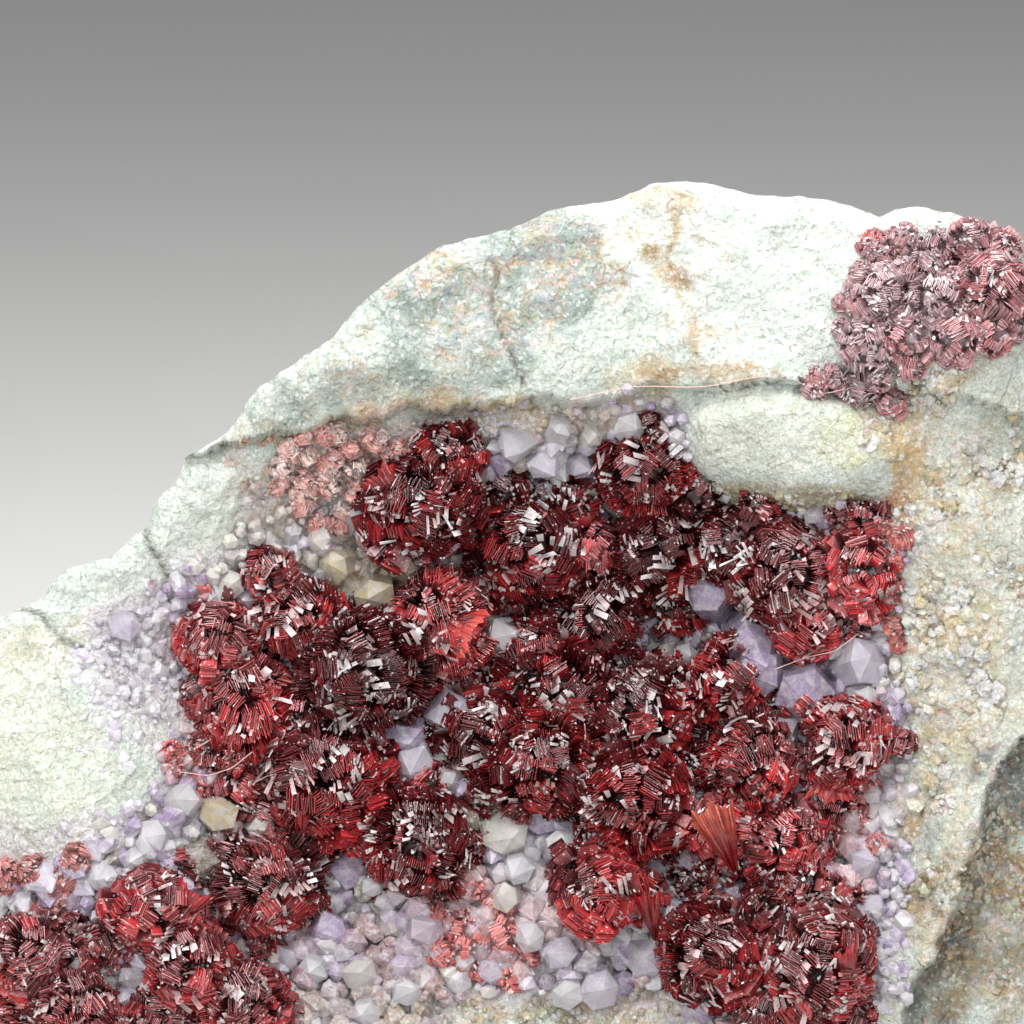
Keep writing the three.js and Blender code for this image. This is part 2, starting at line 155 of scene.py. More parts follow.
def linear(code: str) -> Colour:
    """Return the linear colour of a six-digit hex code, by the standard screen curve.

    Args:
        code: red, green and blue as they look on a screen.

    Returns:
        The three linear components.
    """
    parts = [int(code[first : first + 2], 16) / 255 for first in (0, 2, 4)]
    return tuple(part / 12.92 if part <= 0.04045 else ((part + 0.055) / 1.055) ** 2.4 for part in parts)


def smoothstep(share: Array) -> Array:
    """Return 0 below 0, 1 above 1 and a smooth rise between."""
    share = np.clip(share, 0, 1)
    return share * share * (3 - 2 * share)


def lattice_hash(i: Array, j: Array, k: Array, salt: int) -> Array:
    """Return numbers from 0 to 1 that belong to points of the integer lattice.

    Args:
        i, j, k: whole coordinates of the points.
        salt: picks one of many independent fields.

    Returns:
        One number for each point, from 32-bit integer mixing.
    """
    i, j, k = (np.asarray(step).astype(np.int64).astype(np.uint32) for step in (i, j, k))
    first, second, third = (np.uint32(mixer) for mixer in LATTICE_MIXERS)
    mixed = i * first ^ j * second ^ k * third
    mixed = mixed ^ np.uint32((salt * SALT_MIXER) & 0xFFFFFFFF)
    for shift, mixer in zip((15, 13), BIT_MIXERS):
        mixed = (mixed ^ (mixed >> np.uint32(shift))) * np.uint32(mixer)
    return (mixed ^ (mixed >> np.uint32(16))) / 2.0**32


def chips(x: Array, y: Array | float, z: Array, cell: float, salt: int) -> Array:
    """Return the relief of broken stone, about -1 to 0.

    Each cell of a jittered lattice holds a tilted bowl, tilt minus the squared distance. The highest bowl
    wins, and turned over it leaves smooth facets that meet at sharp ridges.

    Args:
        x, y, z: where.
        cell: size of the lattice, in millimetres.
        salt: picks the field.

    Returns:
        The relief at each point.
    """
    place = [along / cell for along in np.broadcast_arrays(x, y, z)]
    home = [np.floor(along) for along in place]
    best = np.full(place[0].shape, -np.inf)
    for step in product((-1, 0, 1), repeat=3):
        near = [home[axis] + step[axis] for axis in range(3)]
        away = [place[axis] - near[axis] - lattice_hash(*near, salt + axis) for axis in range(3)]
        tilt = sum(away[axis] * (lattice_hash(*near, salt + 3 + axis) - 0.5) for axis in range(3))
        best = np.maximum(best, tilt * CHIP_TILT - sum(part * part for part in away))
    return -CHIP_LEVEL - best


def soft_noise(x: Array, y: Array | float, z: Array, cell: float, salt: int) -> Array:
    """Return smooth noise from 0 to 1: lattice values blended by smoothstep along the three axes.

    Args:
        x, y, z: where.
        cell: size of the lattice, in millimetres.
        salt: picks the field.

    Returns:
        The noise at each point.
    """
    place = [along / cell for along in np.broadcast_arrays(x, y, z)]
    home = [np.floor(along) for along in place]
    share = [smoothstep(place[axis] - home[axis]) for axis in range(3)]
    total = np.zeros(place[0].shape)
    for step in ((x_step, y_step, z_step) for z_step, y_step, x_step in product((0, 1), repeat=3)):
        weight = np.ones(place[0].shape)
        for axis in range(3):
            weight = weight * (share[axis] if step[axis] else 1 - share[axis])
        total += weight * lattice_hash(*(home[axis] + step[axis] for axis in range(3)), salt)
    return total


def cloudy(x: Array, y: Array | float, z: Array, cell: float, salt: int) -> Array:
    """Return three octaves of soft noise, from 0 to 1, each half the size and strength of the last."""
    octaves = [soft_noise(x, y, z, cell / 2**octave, salt + octave) / 2**octave for octave in range(3)]
    return sum(octaves) / 1.75


def outline_radius(outline: Sequence[Sequence[float]], centre: Sequence[float], angle: Array) -> Array:
    """Return how far an outline lies from a centre in the direction of each angle.

    The ray at each angle meets one edge of the outline.

    Args:
        outline: corners, clockwise.
        centre: the middle that the rays start from.
        angle: directions, in radians.

    Returns:
        The distances.
    """
    a = np.asarray(outline, float) - np.asarray(centre, float)
    b = np.roll(a, -1, axis=0)
    flat = np.asarray(angle, float).ravel()[:, None]
    dx, dz = np.cos(flat), np.sin(flat)
    before = dx * a[:, 1] - dz * a[:, 0]
    after = dx * b[:, 1] - dz * b[:, 0]
    hit = (before >= 0) & (after < 0) & (dx * (a[:, 0] + b[:, 0]) + dz * (a[:, 1] + b[:, 1]) > 0)
    edge = np.argmax(hit, axis=1)
    along = dx[:, 0] * (b[edge, 1] - a[edge, 1]) - dz[:, 0] * (b[edge, 0] - a[edge, 0])
    crossing = a[edge, 0] * b[edge, 1] - a[edge, 1] * b[edge, 0]
    return (crossing / along).reshape(np.shape(angle))


def inside(outline: Sequence[Sequence[float]], centre: Sequence[float], x: Array, z: Array) -> Array:
    """Return the distance from each point outwards to the outline, less than 0 outside it."""
    dx, dz = x - centre[0], z - centre[1]
    return outline_radius(outline, centre, np.arctan2(dz, dx)) - np.hypot(dx, dz)


def relief(x: Array, z: Array) -> Array:
    """Return the height of the front face towards the viewer, as in the solids.

    The sum of the landforms, each a smoothstep of the elliptic distance, the ledge above the hollow, the
    drop beyond the broken edge, the fall towards the rim, and two sizes of chips.

    Args:
        x, z: where on the face.

    Returns:
        The height at each point.
    """
    height = np.zeros(np.shape(x))
    for form in LANDFORMS:
        distance = np.hypot((x - form.x) / form.half_x, (z - form.z) / form.half_z)
        height += form.rise * smoothstep((1 + form.soft - distance) / (2 * form.soft))
    ledge = np.interp(x, *zip(*UPPER_LEDGE))
    height += UPPER_LEDGE_RISE * smoothstep((z - ledge) / STEP_WIDTH + 0.5)
    edge_x, edge_z = np.array(BROKEN_EDGE).T
    edge = np.interp(-z, -edge_z, edge_x)
    height -= BROKEN_EDGE_DROP * smoothstep((x - edge) / STEP_WIDTH + 0.5)
    height -= (
        TOP_FALL[1] * np.maximum(0, z - TOP_FALL[0])
        + LEFT_FALL[1] * np.maximum(0, LEFT_FALL[0] - x)
        + RIGHT_FALL[1] * np.maximum(0, x - RIGHT_FALL[0])
    )
    for depth, level, cell, salt in RELIEF_CHIPS:
        height = height + depth * chips(x, level, z, cell, salt)
    return height


def to_line(line: Sequence[Sequence[float]], x: Array, z: Array) -> Array:
    """Return the distance from each point of the face to a line of straight parts."""
    best = np.full(np.shape(x), np.inf)
    for (ax, az), (bx, bz) in zip(line[:-1], line[1:]):
        dx, dz = bx - ax, bz - az
        share = np.clip(((x - ax) * dx + (z - az) * dz) / (dx * dx + dz * dz), 0, 1)
        best = np.minimum(best, np.hypot(x - ax - share * dx, z - az - share * dz))
    return best


def standing(points: Array) -> Array:
    """Turn points of the face frame, in millimetres, into metres in the row's frame."""
    lean = math.radians(FACE_LEAN)
    x, y, z = points[..., 0], points[..., 1], points[..., 2]
    back = y * math.cos(lean) + z * math.sin(lean)
    up = z * math.cos(lean) - y * math.sin(lean)
    return np.stack([x + ORIGIN_SHIFT[0], back + ORIGIN_SHIFT[1], up - BASE_LEVEL], axis=-1) * METRES


def facing(points: Array) -> Array:
    """Turn points of the row's frame, in metres, back into millimetres in the face frame."""
    lean = math.radians(FACE_LEAN)
    x, back, up = np.moveaxis(points / METRES, -1, 0)
    back, up = back - ORIGIN_SHIFT[1], up + BASE_LEVEL
    y = back * math.cos(lean) - up * math.sin(lean)
    z = up * math.cos(lean) + back * math.sin(lean)
    return np.stack([x - ORIGIN_SHIFT[0], y, z], axis=-1)


def unit(vectors: Array) -> Array:
    """Return vectors scaled to length 1."""
    return vectors / np.maximum(np.linalg.norm(vectors, axis=-1, keepdims=True), 1e-9)


def square_to(axis: Array, hint: Array) -> Array:
    """Return unit vectors square to axis that lie as close as they can to hint."""
    return unit(hint - np.sum(hint * axis, axis=-1, keepdims=True) * axis)


def on_face(x: Array, z: Array, lift: Array | float = 0.0) -> Array:
    """Return points of the face frame that lie on the front face, or stand lift over it."""
    return np.stack(np.broadcast_arrays(x, -relief(x, z) - lift, z), axis=-1)


class Surfaces:
    """Puts arrays of points and faces into Blender meshes."""

    @staticmethod
    def piece(
        name: str, points: Array, faces: Sequence[Array], finish: bpy.types.Material
    ) -> bpy.types.Object:
        """Make a piece from points in metres and groups of faces that have the same number of corners.

        Args:
            name: the piece's name.
            points: one row for each vertex.
            faces: arrays of vertex numbers, one row for each face.
            finish: the material.

        Returns:
            The new object, at the origin.
        """
        mesh = bpy.data.meshes.new(name)
        mesh.vertices.add(len(points))
        mesh.vertices.foreach_set("co", np.ascontiguousarray(points, np.float32).ravel())
        corners = np.concatenate([group.ravel() for group in faces]).astype(np.int32)
        counts = np.concatenate([np.full(len(group), group.shape[1]) for group in faces])
        starts = np.concatenate([[0], np.cumsum(counts)[:-1]]).astype(np.int32)
        mesh.loops.add(len(corners))
        mesh.loops.foreach_set("vertex_index", corners)
        mesh.polygons.add(len(counts))
        mesh.polygons.foreach_set("loop_start", starts)
        mesh.update(calc_edges=True)
        mesh.validate()
        mesh.shade_flat()
        mesh.materials.append(finish)
        piece = bpy.data.objects.new(name, mesh)
        bpy.context.scene.collection.objects.link(piece)
        return piece

    @staticmethod
    def paint(piece: bpy.types.Object, colours: Array, flecks: Array | float = 0.0) -> None:
        """Store one linear colour for each vertex in the attribute tint.

        Args:
            piece: the object to paint.
            colours: red, green and blue for each vertex.
            flecks: how strongly coloured flecks show, from 0 to 1, kept as the fourth value.
        """
        layer = piece.data.attributes.new("tint", "FLOAT_COLOR", "POINT")
        rgba = np.ones((len(colours), 4), np.float32)
        rgba[:, :3] = colours
        rgba[:, 3] = flecks
        layer.data.foreach_set("color", rgba.ravel())

    @staticmethod
    def sheet(rows: int, columns: int) -> tuple[Array, Array]:
        """Return the faces of a sheet of rows by columns points, and the points around its border."""
        number = np.arange(rows * columns).reshape(rows, columns)
        corners = [number[:-1, :-1], number[:-1, 1:], number[1:, 1:], number[1:, :-1]]
        border = np.concatenate([number[0, :-1], number[:-1, -1], number[-1, :0:-1], number[:0:-1, 0]])
        return np.stack(corners, axis=-1).reshape(-1, 4), border

    @staticmethod
    def tube(rings: int, around: int) -> tuple[Array, Array]:
        """Return the walls of a tube of rings with around points each, and the faces that close it."""
        number = np.arange(rings * around).reshape(rings, around)
        ahead = np.roll(number, -1, axis=1)
        walls = np.stack([number[:-1], ahead[:-1], ahead[1:], number[1:]], axis=-1).reshape(-1, 4)
        return walls, np.stack([number[0][::-1], number[-1]])

    @staticmethod
    def repeat(template: Sequence[Sequence[int]], count: int, stride: int) -> Array:
        """Return the faces of count copies of a shape whose vertices take stride numbers each."""
        faces = np.asarray(template)
        return (faces[None] + stride * np.arange(count)[:, None, None]).reshape(-1, faces.shape[1])


def dress(piece: bpy.types.Object, nodes: Sequence[str] = ()) -> None:
    """Let a piece ride on the block, and have it stand for solids.

    Args:
        piece: the object.
        nodes: the solids that it replaces.
    """
    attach(piece, "root")
    if nodes:
        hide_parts(*nodes)
    LOG.info("%s: %d faces", piece.name, len(piece.data.polygons))


# Finishes


class Shader:
    """A material under construction, with short calls for its nodes."""

    def __init__(self, name: str) -> None:
        """Start a material that holds only its Principled shader."""
        self.material = bpy.data.materials.new(name)
        self.material.use_nodes = True
        self.tree = self.material.node_tree
        self.skin = self.tree.nodes["Principled BSDF"]

    def set(self, **values: float | tuple) -> None:
        """Set the shader's own sockets, named with underscores for spaces."""
        for key, value in values.items():
            self.skin.inputs[key.replace("_", " ")].default_value = value

    def node(self, kind: str, **values: object) -> bpy.types.Node:
        """Add a node; values are its properties, or its sockets if it has no such property."""
        made = self.tree.nodes.new(kind)
        for key, value in values.items():
            if hasattr(made, key):
                setattr(made, key, value)
            else:
                made.inputs[key.replace("_", " ")].default_value = value
        return made

    def link(self, source: bpy.types.NodeSocket, node: bpy.types.Node, socket: str | int) -> None:
        """Join an output to a node's input."""
        self.tree.links.new(source, node.inputs[socket])

    def where(self) -> bpy.types.NodeSocket:
        """Return the object's own coordinates."""
        return self.node("ShaderNodeTexCoord").outputs["Object"]

    def tint(self, output: str = "Color") -> bpy.types.NodeSocket:
        """Return the colour painted on the vertices, or the flecks kept in its Alpha."""
        return self.node("ShaderNodeAttribute", attribute_name="tint").outputs[output]

    def noise(self, size: float, detail: float = 3.0, rough: float = 0.6) -> bpy.types.NodeSocket:
        """Return noise whose features are size millimetres across."""
        made = self.node("ShaderNodeTexNoise", Scale=1 / (size * METRES), Detail=detail, Roughness=rough)
        self.link(self.where(), made, "Vector")
        return made.outputs["Fac"]

    def warped(self, size: float, reach: float) -> bpy.types.NodeSocket:
        """Return coordinates that wander by up to reach millimetres, over size millimetres."""
        made = self.node("ShaderNodeTexNoise", Scale=1 / (size * METRES), Detail=4.0)
        self.link(self.where(), made, "Vector")
        push = self.node("ShaderNodeVectorMath", operation="SCALE")
        self.link(made.outputs["Color"], push, 0)
        push.inputs["Scale"].default_value = reach * METRES
        total = self.node("ShaderNodeVectorMath", operation="ADD")
        self.link(self.where(), total, 0)
        self.link(push.outputs["Vector"], total, 1)
        return total.outputs["Vector"]

    def cells(self, size: float, output: str = "Color", feature: str = "F1") -> bpy.types.NodeSocket:
        """Return Voronoi cells size millimetres across.

        Args:
            size: how wide a cell is.
            output: Color for random numbers that differ by cell, or Distance.
            feature: F1 for the distance to the middle, or DISTANCE_TO_EDGE.

        Returns:
            The output's socket.
        """
        made = self.node("ShaderNodeTexVoronoi", feature=feature, Scale=1 / (size * METRES))
        self.link(self.warped(size * 0.7, size * 0.6), made, "Vector")
        return made.outputs[output]

    def split(self, source: bpy.types.NodeSocket) -> list[bpy.types.NodeSocket]:
        """Return the three parts of a colour."""
        made = self.node("ShaderNodeSeparateColor")
        self.link(source, made, 0)
        return list(made.outputs)

    def ramp(self, source: bpy.types.NodeSocket, low: float, high: float) -> bpy.types.NodeSocket:
        """Return source stretched so that low becomes 0 and high becomes 1."""
        made = self.node("ShaderNodeMapRange", clamp=True)
        self.link(source, made, "Value")
        made.inputs["From Min"].default_value = low
        made.inputs["From Max"].default_value = high
        return made.outputs["Result"]

    def times(self, share: bpy.types.NodeSocket, by: bpy.types.NodeSocket | float) -> bpy.types.NodeSocket:
        """Return a value multiplied by another."""
        made = self.node("ShaderNodeMath", operation="MULTIPLY")
        self.link(share, made, 0)
        if isinstance(by, (int, float)):
            made.inputs[1].default_value = by
        else:
            self.link(by, made, 1)
        return made.outputs["Value"]

    def mix(
        self,
        share: bpy.types.NodeSocket | float,
        a: bpy.types.NodeSocket | Colour,
        b: bpy.types.NodeSocket | Colour,
        how: str = "MIX",
    ) -> bpy.types.NodeSocket:
        """Return colour a mixed with b by share."""
        made = self.node("ShaderNodeMix", data_type="RGBA", blend_type=how)
        if isinstance(share, float):
            made.inputs[0].default_value = share
        else:
            self.link(share, made, 0)
        for socket, value in ((6, a), (7, b)):
            if isinstance(value, tuple):
                made.inputs[socket].default_value = (*value, 1)
            else:
                self.link(value, made, socket)
        return made.outputs[2]

    def bump(self, heights: Sequence[tuple[bpy.types.NodeSocket, float]]) -> None:
        """Carve heights into the shader's normal.

        Args:
            heights: pairs of a height from 0 to 1 and its depth in millimetres.
        """
        normal = None
        for height, depth in heights:
            made = self.node("ShaderNodeBump", Strength=1.0, Distance=depth * METRES)
            self.link(height, made, "Height")
            if normal is not None:
                self.link(normal, made, "Normal")
            normal = made.outputs["Normal"]
        self.link(normal, self.skin, "Normal")


@dataclass(frozen=True)
class VeinRock:
    """Broken vein quartz: milky stone with fine grain, hairline cracks and flecks on a painted ground."""

    fleck: float = 0.34
    grain: float = 0.15
    crack: float = 3.4
    milk: Colour = (0.93, 0.95, 0.92)
    mottle: Colour = (0.8, 0.83, 0.79)
    shadow: Colour = (0.62, 0.65, 0.6)
    grain_line: Colour = (0.55, 0.55, 0.45)
    glassy_grain: Colour = (0.97, 0.98, 0.97)
    warm_flecks: tuple[Colour, Colour] = ((0.76, 0.46, 0.24), (0.74, 0.38, 0.4))
    cool_flecks: tuple[Colour, Colour] = ((0.3, 0.35, 0.44), (0.66, 0.66, 0.36))
    dirt_tone: Colour = (0.42, 0.29, 0.15)
    slate_tone: Colour = (0.28, 0.32, 0.34)
    rust_tone: Colour = (0.42, 0.27, 0.12)
    crack_tone: Colour = (0.35, 0.3, 0.22)

    def make(self) -> bpy.types.Material:
        """Return the material."""
        look = Shader("vein rock")
        look.set(Roughness=0.5, IOR=1.54)
        tint = look.tint()
        clouds = look.times(look.ramp(look.noise(2.6, 6, 0.68), 0.47, 0.66), 0.5)
        milky = look.mix(clouds, tint, self.milk)
        shade = look.times(look.ramp(look.noise(self.grain, 5, 0.75), 0.64, 0.38), 0.85)
        blotch = look.times(look.ramp(look.noise(1.1, 6, 0.75), 0.58, 0.38), 0.7)
        mottled = look.mix(blotch, milky, self.mottle, "MULTIPLY")
        ground = look.mix(shade, mottled, self.shadow, "MULTIPLY")
        outlines = look.ramp(look.cells(0.3, "Distance", "DISTANCE_TO_EDGE"), 0.05, 0.0)
        ground = look.mix(look.times(outlines, 0.4), ground, self.grain_line, "MULTIPLY")
        glassy = look.times(look.ramp(look.split(look.cells(0.17))[1], 0.8, 0.95), 0.45)
        ground = look.mix(glassy, ground, self.glassy_grain)
        warm = look.mix(look.ramp(look.noise(1.3, 3), 0.42, 0.58), *self.warm_flecks)
        cool = look.mix(look.ramp(look.noise(1.9, 3), 0.42, 0.58), *self.cool_flecks)
        flecks = look.mix(look.ramp(look.noise(0.7, 5), 0.44, 0.56), warm, cool)
        share = look.times(look.ramp(look.noise(self.fleck, 6, 0.8), 0.46, 0.6), look.tint("Alpha"))
        flecked = look.mix(look.times(share, 0.75), ground, flecks)
        dirt = look.times(look.ramp(look.noise(1.5, 8, 0.75), 0.53, 0.64), look.tint("Alpha"))
        flecked = look.mix(look.times(dirt, 0.85), flecked, self.dirt_tone)
        slate = look.times(look.ramp(look.noise(1.9, 8, 0.75), 0.47, 0.36), look.tint("Alpha"))
        flecked = look.mix(look.times(slate, 0.7), flecked, self.slate_tone)
        cracks = look.ramp(look.cells(self.crack, "Distance", "DISTANCE_TO_EDGE"), 0.018, 0.0)
        some = look.times(cracks, look.ramp(look.noise(5, 3), 0.5, 0.62))
        seams = look.ramp(look.cells(1.5, "Distance", "DISTANCE_TO_EDGE"), 0.06, 0.0)
        rusty = look.times(look.times(seams, look.ramp(look.noise(2, 4), 0.45, 0.55)), look.tint("Alpha"))
        rusted = look.mix(look.times(rusty, 0.8), flecked, self.rust_tone)
        look.link(look.mix(look.times(some, 0.7), rusted, self.crack_tone), look.skin, "Base Color")
        look.link(look.ramp(look.cells(0.3), -0.2, 1.9), look.skin, "Roughness")
        look.bump(
            [
                (look.cells(0.45, "Distance"), 0.22),
                (look.noise(0.7, 6, 0.7), 0.34),
                (look.noise(self.grain, 3), 0.06),
            ]
        )
        return look.material


@dataclass(frozen=True)
class ClearQuartz:
    """Clear to milky quartz: see-through, with faint veils inside."""

    name: str = "clear quartz"
    through: float = 0.62
    veil: float = 0.4
    smoke: float = 0.35
    veil_tone: Colour = (0.97, 0.96, 0.97)
    smoke_tone: Colour = (0.62, 0.55, 0.62)
    break_tone: Colour = (0.95, 0.93, 0.95)

    def make(self) -> bpy.types.Material:
        """Return the material."""
        look = Shader(self.name)
        look.set(Roughness=0.06, IOR=1.54, Transmission_Weight=self.through)
        tint = look.tint()
        veils = look.ramp(look.noise(self.veil, 4, 0.65), 0.45, 0.7)
        veiled = look.mix(veils, tint, self.veil_tone)
        smoke = look.times(look.ramp(look.noise(0.9, 5, 0.7), 0.52, 0.36), self.smoke)
        smoky = look.mix(smoke, veiled, self.smoke_tone, "MULTIPLY")
        breaks = look.ramp(look.cells(0.7, "Distance", "DISTANCE_TO_EDGE"), 0.035, 0.0)
        look.link(look.mix(look.times(breaks, 0.5), smoky, self.break_tone), look.skin, "Base Color")
        look.bump([(look.noise(0.35, 5, 0.7), 0.08), (look.cells(0.8, "Distance"), 0.05)])
        return look.material


@dataclass(frozen=True)
class RedBlades:
    """Deep red, glassy blades: each has its own painted depth of colour, and tiny pale specks that are
    painted glints.
    """

    name: str = "wendwilsonite"
    gloss: float = 0.26
    glint_specks: float = 0.7
    cloud_tone: Colour = (0.4, 0.36, 0.36)
    glint_speck_tone: Colour = (0.85, 0.78, 0.77)

    def make(self) -> bpy.types.Material:
        """Return the material."""
        look = Shader(self.name)
        look.set(Roughness=self.gloss, IOR=1.62, Specular_IOR_Level=0.5)
        tint = look.tint()
        clouded = look.mix(look.ramp(look.noise(0.5, 4), 0.4, 0.75), tint, self.cloud_tone, "MULTIPLY")
        # Tiny pale specks over the blades: painted glints
        glint_speck_mask = look.ramp(look.split(look.cells(0.09))[0], 0.965, 0.98)
        glint_specks = look.mix(look.times(glint_speck_mask, self.glint_specks), clouded, self.glint_speck_tone)
        look.link(glint_specks, look.skin, "Base Color")
        look.bump([(look.noise(0.1, 3), 0.02)])
        return look.material


@dataclass(frozen=True)
class Plain:
    """A nearly even finish, with a faint cloudiness."""

    name: str
    colour: Colour
    rough: float

    def make(self) -> bpy.types.Material:
        """Return the material."""
        look = Shader(self.name)
        look.set(Roughness=self.rough)
        paler = tuple(min(1.0, c * 1.06) for c in self.colour)
        look.link(look.mix(look.noise(60, 2), self.colour, paler), look.skin, "Base Color")
        return look.material


# The block


@dataclass(frozen=True)
class Stain:
    """A patch of colour on the face, fading over the outer part of an ellipse."""

    what: str
    x: float
    z: float
    half_x: float
    half_z: float
    colour: str
    share: float


GROUND = "dfe8e2"
STAINS = (
    Stain("right flank", 24, -4, 7, 16, "dfddcf", 0.8),
    Stain("white facet", 12.5, 11.5, 7, 4.6, "e8efea", 0.8),
    Stain("pale left slope", -9, 7, 5, 3.4, "dce7de", 0.5),
    Stain("brown shade at the top", 7.7, 15.8, 1.8, 0.6, "d9c49c", 0.7),
    Stain("brown knot", 8.3, 11.6, 1, 0.9, "a8874c", 0.85),
    Stain("brown speck", 7, 13.1, 0.4, 0.4, "b08c50", 0.85),
    Stain("brown shade below", 9.2, 8.4, 0.8, 1.8, "dcc4a2", 0.7),
    Stain("brown foot", 10, 7, 3.6, 0.6, "dcc8ac", 0.8),
    Stain("beige shelf", 6.4, 6.6, 2.6, 1, "d9c8aa", 0.8),
    Stain("white swelling", 2.1, 7.3, 2.7, 1.7, "e6eee6", 0.95),
    Stain("left slope", -15.6, 1.6, 3.6, 4.4, "f2f8f2", 0.8),
    Stain("brown under ledge on the left", -8.4, 4, 5, 0.9, "c9b690", 0.8),
    Stain("brown under ledge", 0.4, 5.2, 4.6, 0.9, "cfb48a", 0.8),
    Stain("rosy slope", -8, 1.4, 5.4, 2.8, "e6bcb2", 0.8),
    Stain("grey-green notch", -13.6, 0.4, 2, 3.2, "dde3da", 0.6),
    Stain("beige lip", -23.8, -6.8, 3, 1.9, "e2dcc4", 0.8),
    Stain("glassy yellow-green stone", -22.6, -13.2, 4.6, 5, "ecefde", 0.85),
    Stain("lilac band", -18.4, -8, 3.2, 4.4, "f4ecf5", 0.85),
    Stain("lilac foot", -20, -16.5, 5, 2, "e8dde6", 0.8),
    Stain("tongue", 13.9, 3.7, 5, 2.4, "f7fbee", 0.9),
    Stain("yellow on the tongue", 17, 3.1, 1.7, 1.6, "e9e8c0", 0.7),
    Stain("olive under the tongue", 13.6, 0.9, 5.4, 0.8, "a6966a", 0.85),
    Stain("orange line", 19.5, 3.2, 1.1, 3.2, "d6b074", 0.8),
    Stain("rust at the hollow's edge", 19.1, -1.6, 0.9, 3, "c98b60", 0.75),
    Stain("grey flank", 24.2, 3, 2.8, 3.4, "ccd1c4", 0.7),
    Stain("ochre on the right", 22.4, -6, 2.2, 2.6, "cfba8c", 0.5),
    Stain("ochre further down", 21, -11.5, 2, 2, "cfc09a", 0.5),
    Stain("white flank", 20.7, -5.4, 1.5, 3, "f8f8f2", 0.85),
    Stain("pale strip", 20.9, -17, 1.9, 6, "d2d8ca", 0.8),
    Stain("beige strip", 22.4, -15.8, 1.1, 2.2, "e3d8ba", 0.85),
    Stain("brown hollows", 19.4, -16, 0.9, 1.1, "9a7a4e", 0.8),
    Stain("low brown stone", 24.4, -22, 5, 5.5, "968768", 0.9),
    Stain("low slate stone", 25, -14.6, 2.6, 3, "687472", 0.95),
    Stain("low rust stone", 24.4, -18.6, 1.9, 1.7, "94703f", 0.85),
    # The dark hollow by the edge is painted shade in the recess below the broken edge
    Stain("dark hollow by the edge", 22.3, -21.4, 1, 2, "5c4c36", 0.8),
    Stain("low grey stone", 24.8, -24, 2, 2.4, "a4a698", 0.7),
    Stain("brown foot of the hollow", 2.4, -25, 6, 1.3, "b0aa88", 0.8),
    Stain("stone below", 0, -34, 30, 7, "ccd1c2", 0.6),
)
GREY_FACET = (
    (-3.6, 13.45), (2.15, 15.4), (4.4, 14.9), (4.9, 12.6), (5, 11.1), (2.4, 8.6), (0.4, 6.35),
    (-4.1, 5.6), (-9.1, 4.6), (-13.1, 3.85), (-13.6, 5.1), (-9.1, 8.35), (-6.6, 11.35),
)
GREY_FACET_CENTRE = (-1.5, 10)
GREY_FACET_COLOUR = "9aa8a2"
HOLLOW_COLOUR = "d8ccd6"
FLECKED = (
    Stain("rosy flecks", 3, 13, 2.6, 2.8, "", 1),
    Stain("flecks on the left", -5, 12, 2.4, 1.8, "", 0.9),
    Stain("flecks in the middle", -0.5, 9.5, 4, 3, "", 0.7),
    Stain("flecks on the slope", -9, 6.5, 4, 2, "", 0.5),
    Stain("flecks on the right", 22, -5, 4, 14, "", 0.65),
    Stain("flecks below", 24, -20, 6, 7, "", 0.8),
    Stain("flecks under the ledge", -2, 4.8, 9, 1.4, "", 0.6),
    Stain("flecks on the rosy slope", -8, 1.4, 5, 3, "", 0.8),
    Stain("flecks by the brown run", 8.6, 11, 2, 5, "", 0.5),
    Stain("flecks at the foot", 3, -25, 9, 2, "", 0.8),
)
BARE_FLECKS = 0.12
CRACKS = (
    ((-1.1, 12.7), (-0.65, 11.9), (-1.05, 10.45), (-0.4, 8.65), (0.25, 7.3), (0.6, 6.3)),
    ((-24.6, -4.9), (-23.6, -5.2), (-22.6, -6.4), (-21.4, -6.9)),
    ((20.2, -20.4), (20.9, -18.1), (20.6, -15.2), (21.5, -12.2)),
    ((-18.6, -0.8), (-17.2, -3.4), (-17.8, -6)),
)
RUST_RUNS = (
    ((6.95, 15.75), (7.4, 16.2), (8, 16.05), (8.8, 15.8)),
    (
        (8, 16.05), (8.15, 15.1), (8.3, 14), (7.8, 13), (8, 12.3), (8.4, 11.6), (8.25, 10.75), (9.1, 9.8),
        (9, 8.8), (9.15, 8),
    ),
    ((6.4, 7), (7.4, 6.8), (8.9, 7.3), (10.4, 7), (11.9, 7.4), (13.15, 7)),
    ((17.9, -0.95), (18.9, -1.3), (19.75, -1.75), (20, -2.4)),
    ((20.95, -4.3), (21.15, -5.25), (20.75, -6.8), (19.8, -7)),
    ((19, -7.95), (19.8, -8.95), (20.35, -10.1), (21.7, -9.9)),
)
# Patches that broke off smooth: middle and half widths
SMOOTH_PATCHES = ((13.9, 3.6, 4.5, 2.3), (-22.8, -13, 4.5, 5), (2.1, 7.3, 2.6, 1.7))
# Painted shadow and highlight along the broken edge: how strong, how far past it, how wide, and their
# colour
EDGE_SHADOW_AND_HIGHLIGHT = ((0.92, 0.55, 0.6, "413f35"), (0.6, -0.5, 0.35, "f4f2ea"))
RUST_COLOUR = "b08a55"
CRACK_COLOUR = "6f6a58"
# Chips of the rim, the sides and the back: depth, cell size and salt
RIM_CHIPS = ((0.3, 1.9, 101), (0.12, 0.8, 103))
SIDE_CHIPS = ((1.6, 9, 53), (0.5, 3, 57))
BACK_CHIPS = ((2.6, 20, 12, 37), (0.9, 40, 5.5, 41), (0.35, 60, 2.2, 43))


class Facet(Enum):
    """How strongly each size of chipping marks the fine surface: cell size, depth and salt."""

    COARSE = (2.1, 0.42, 61)
    MIDDLE = (1.0, 0.22, 71)
    FINE = (0.5, 0.09, 81)


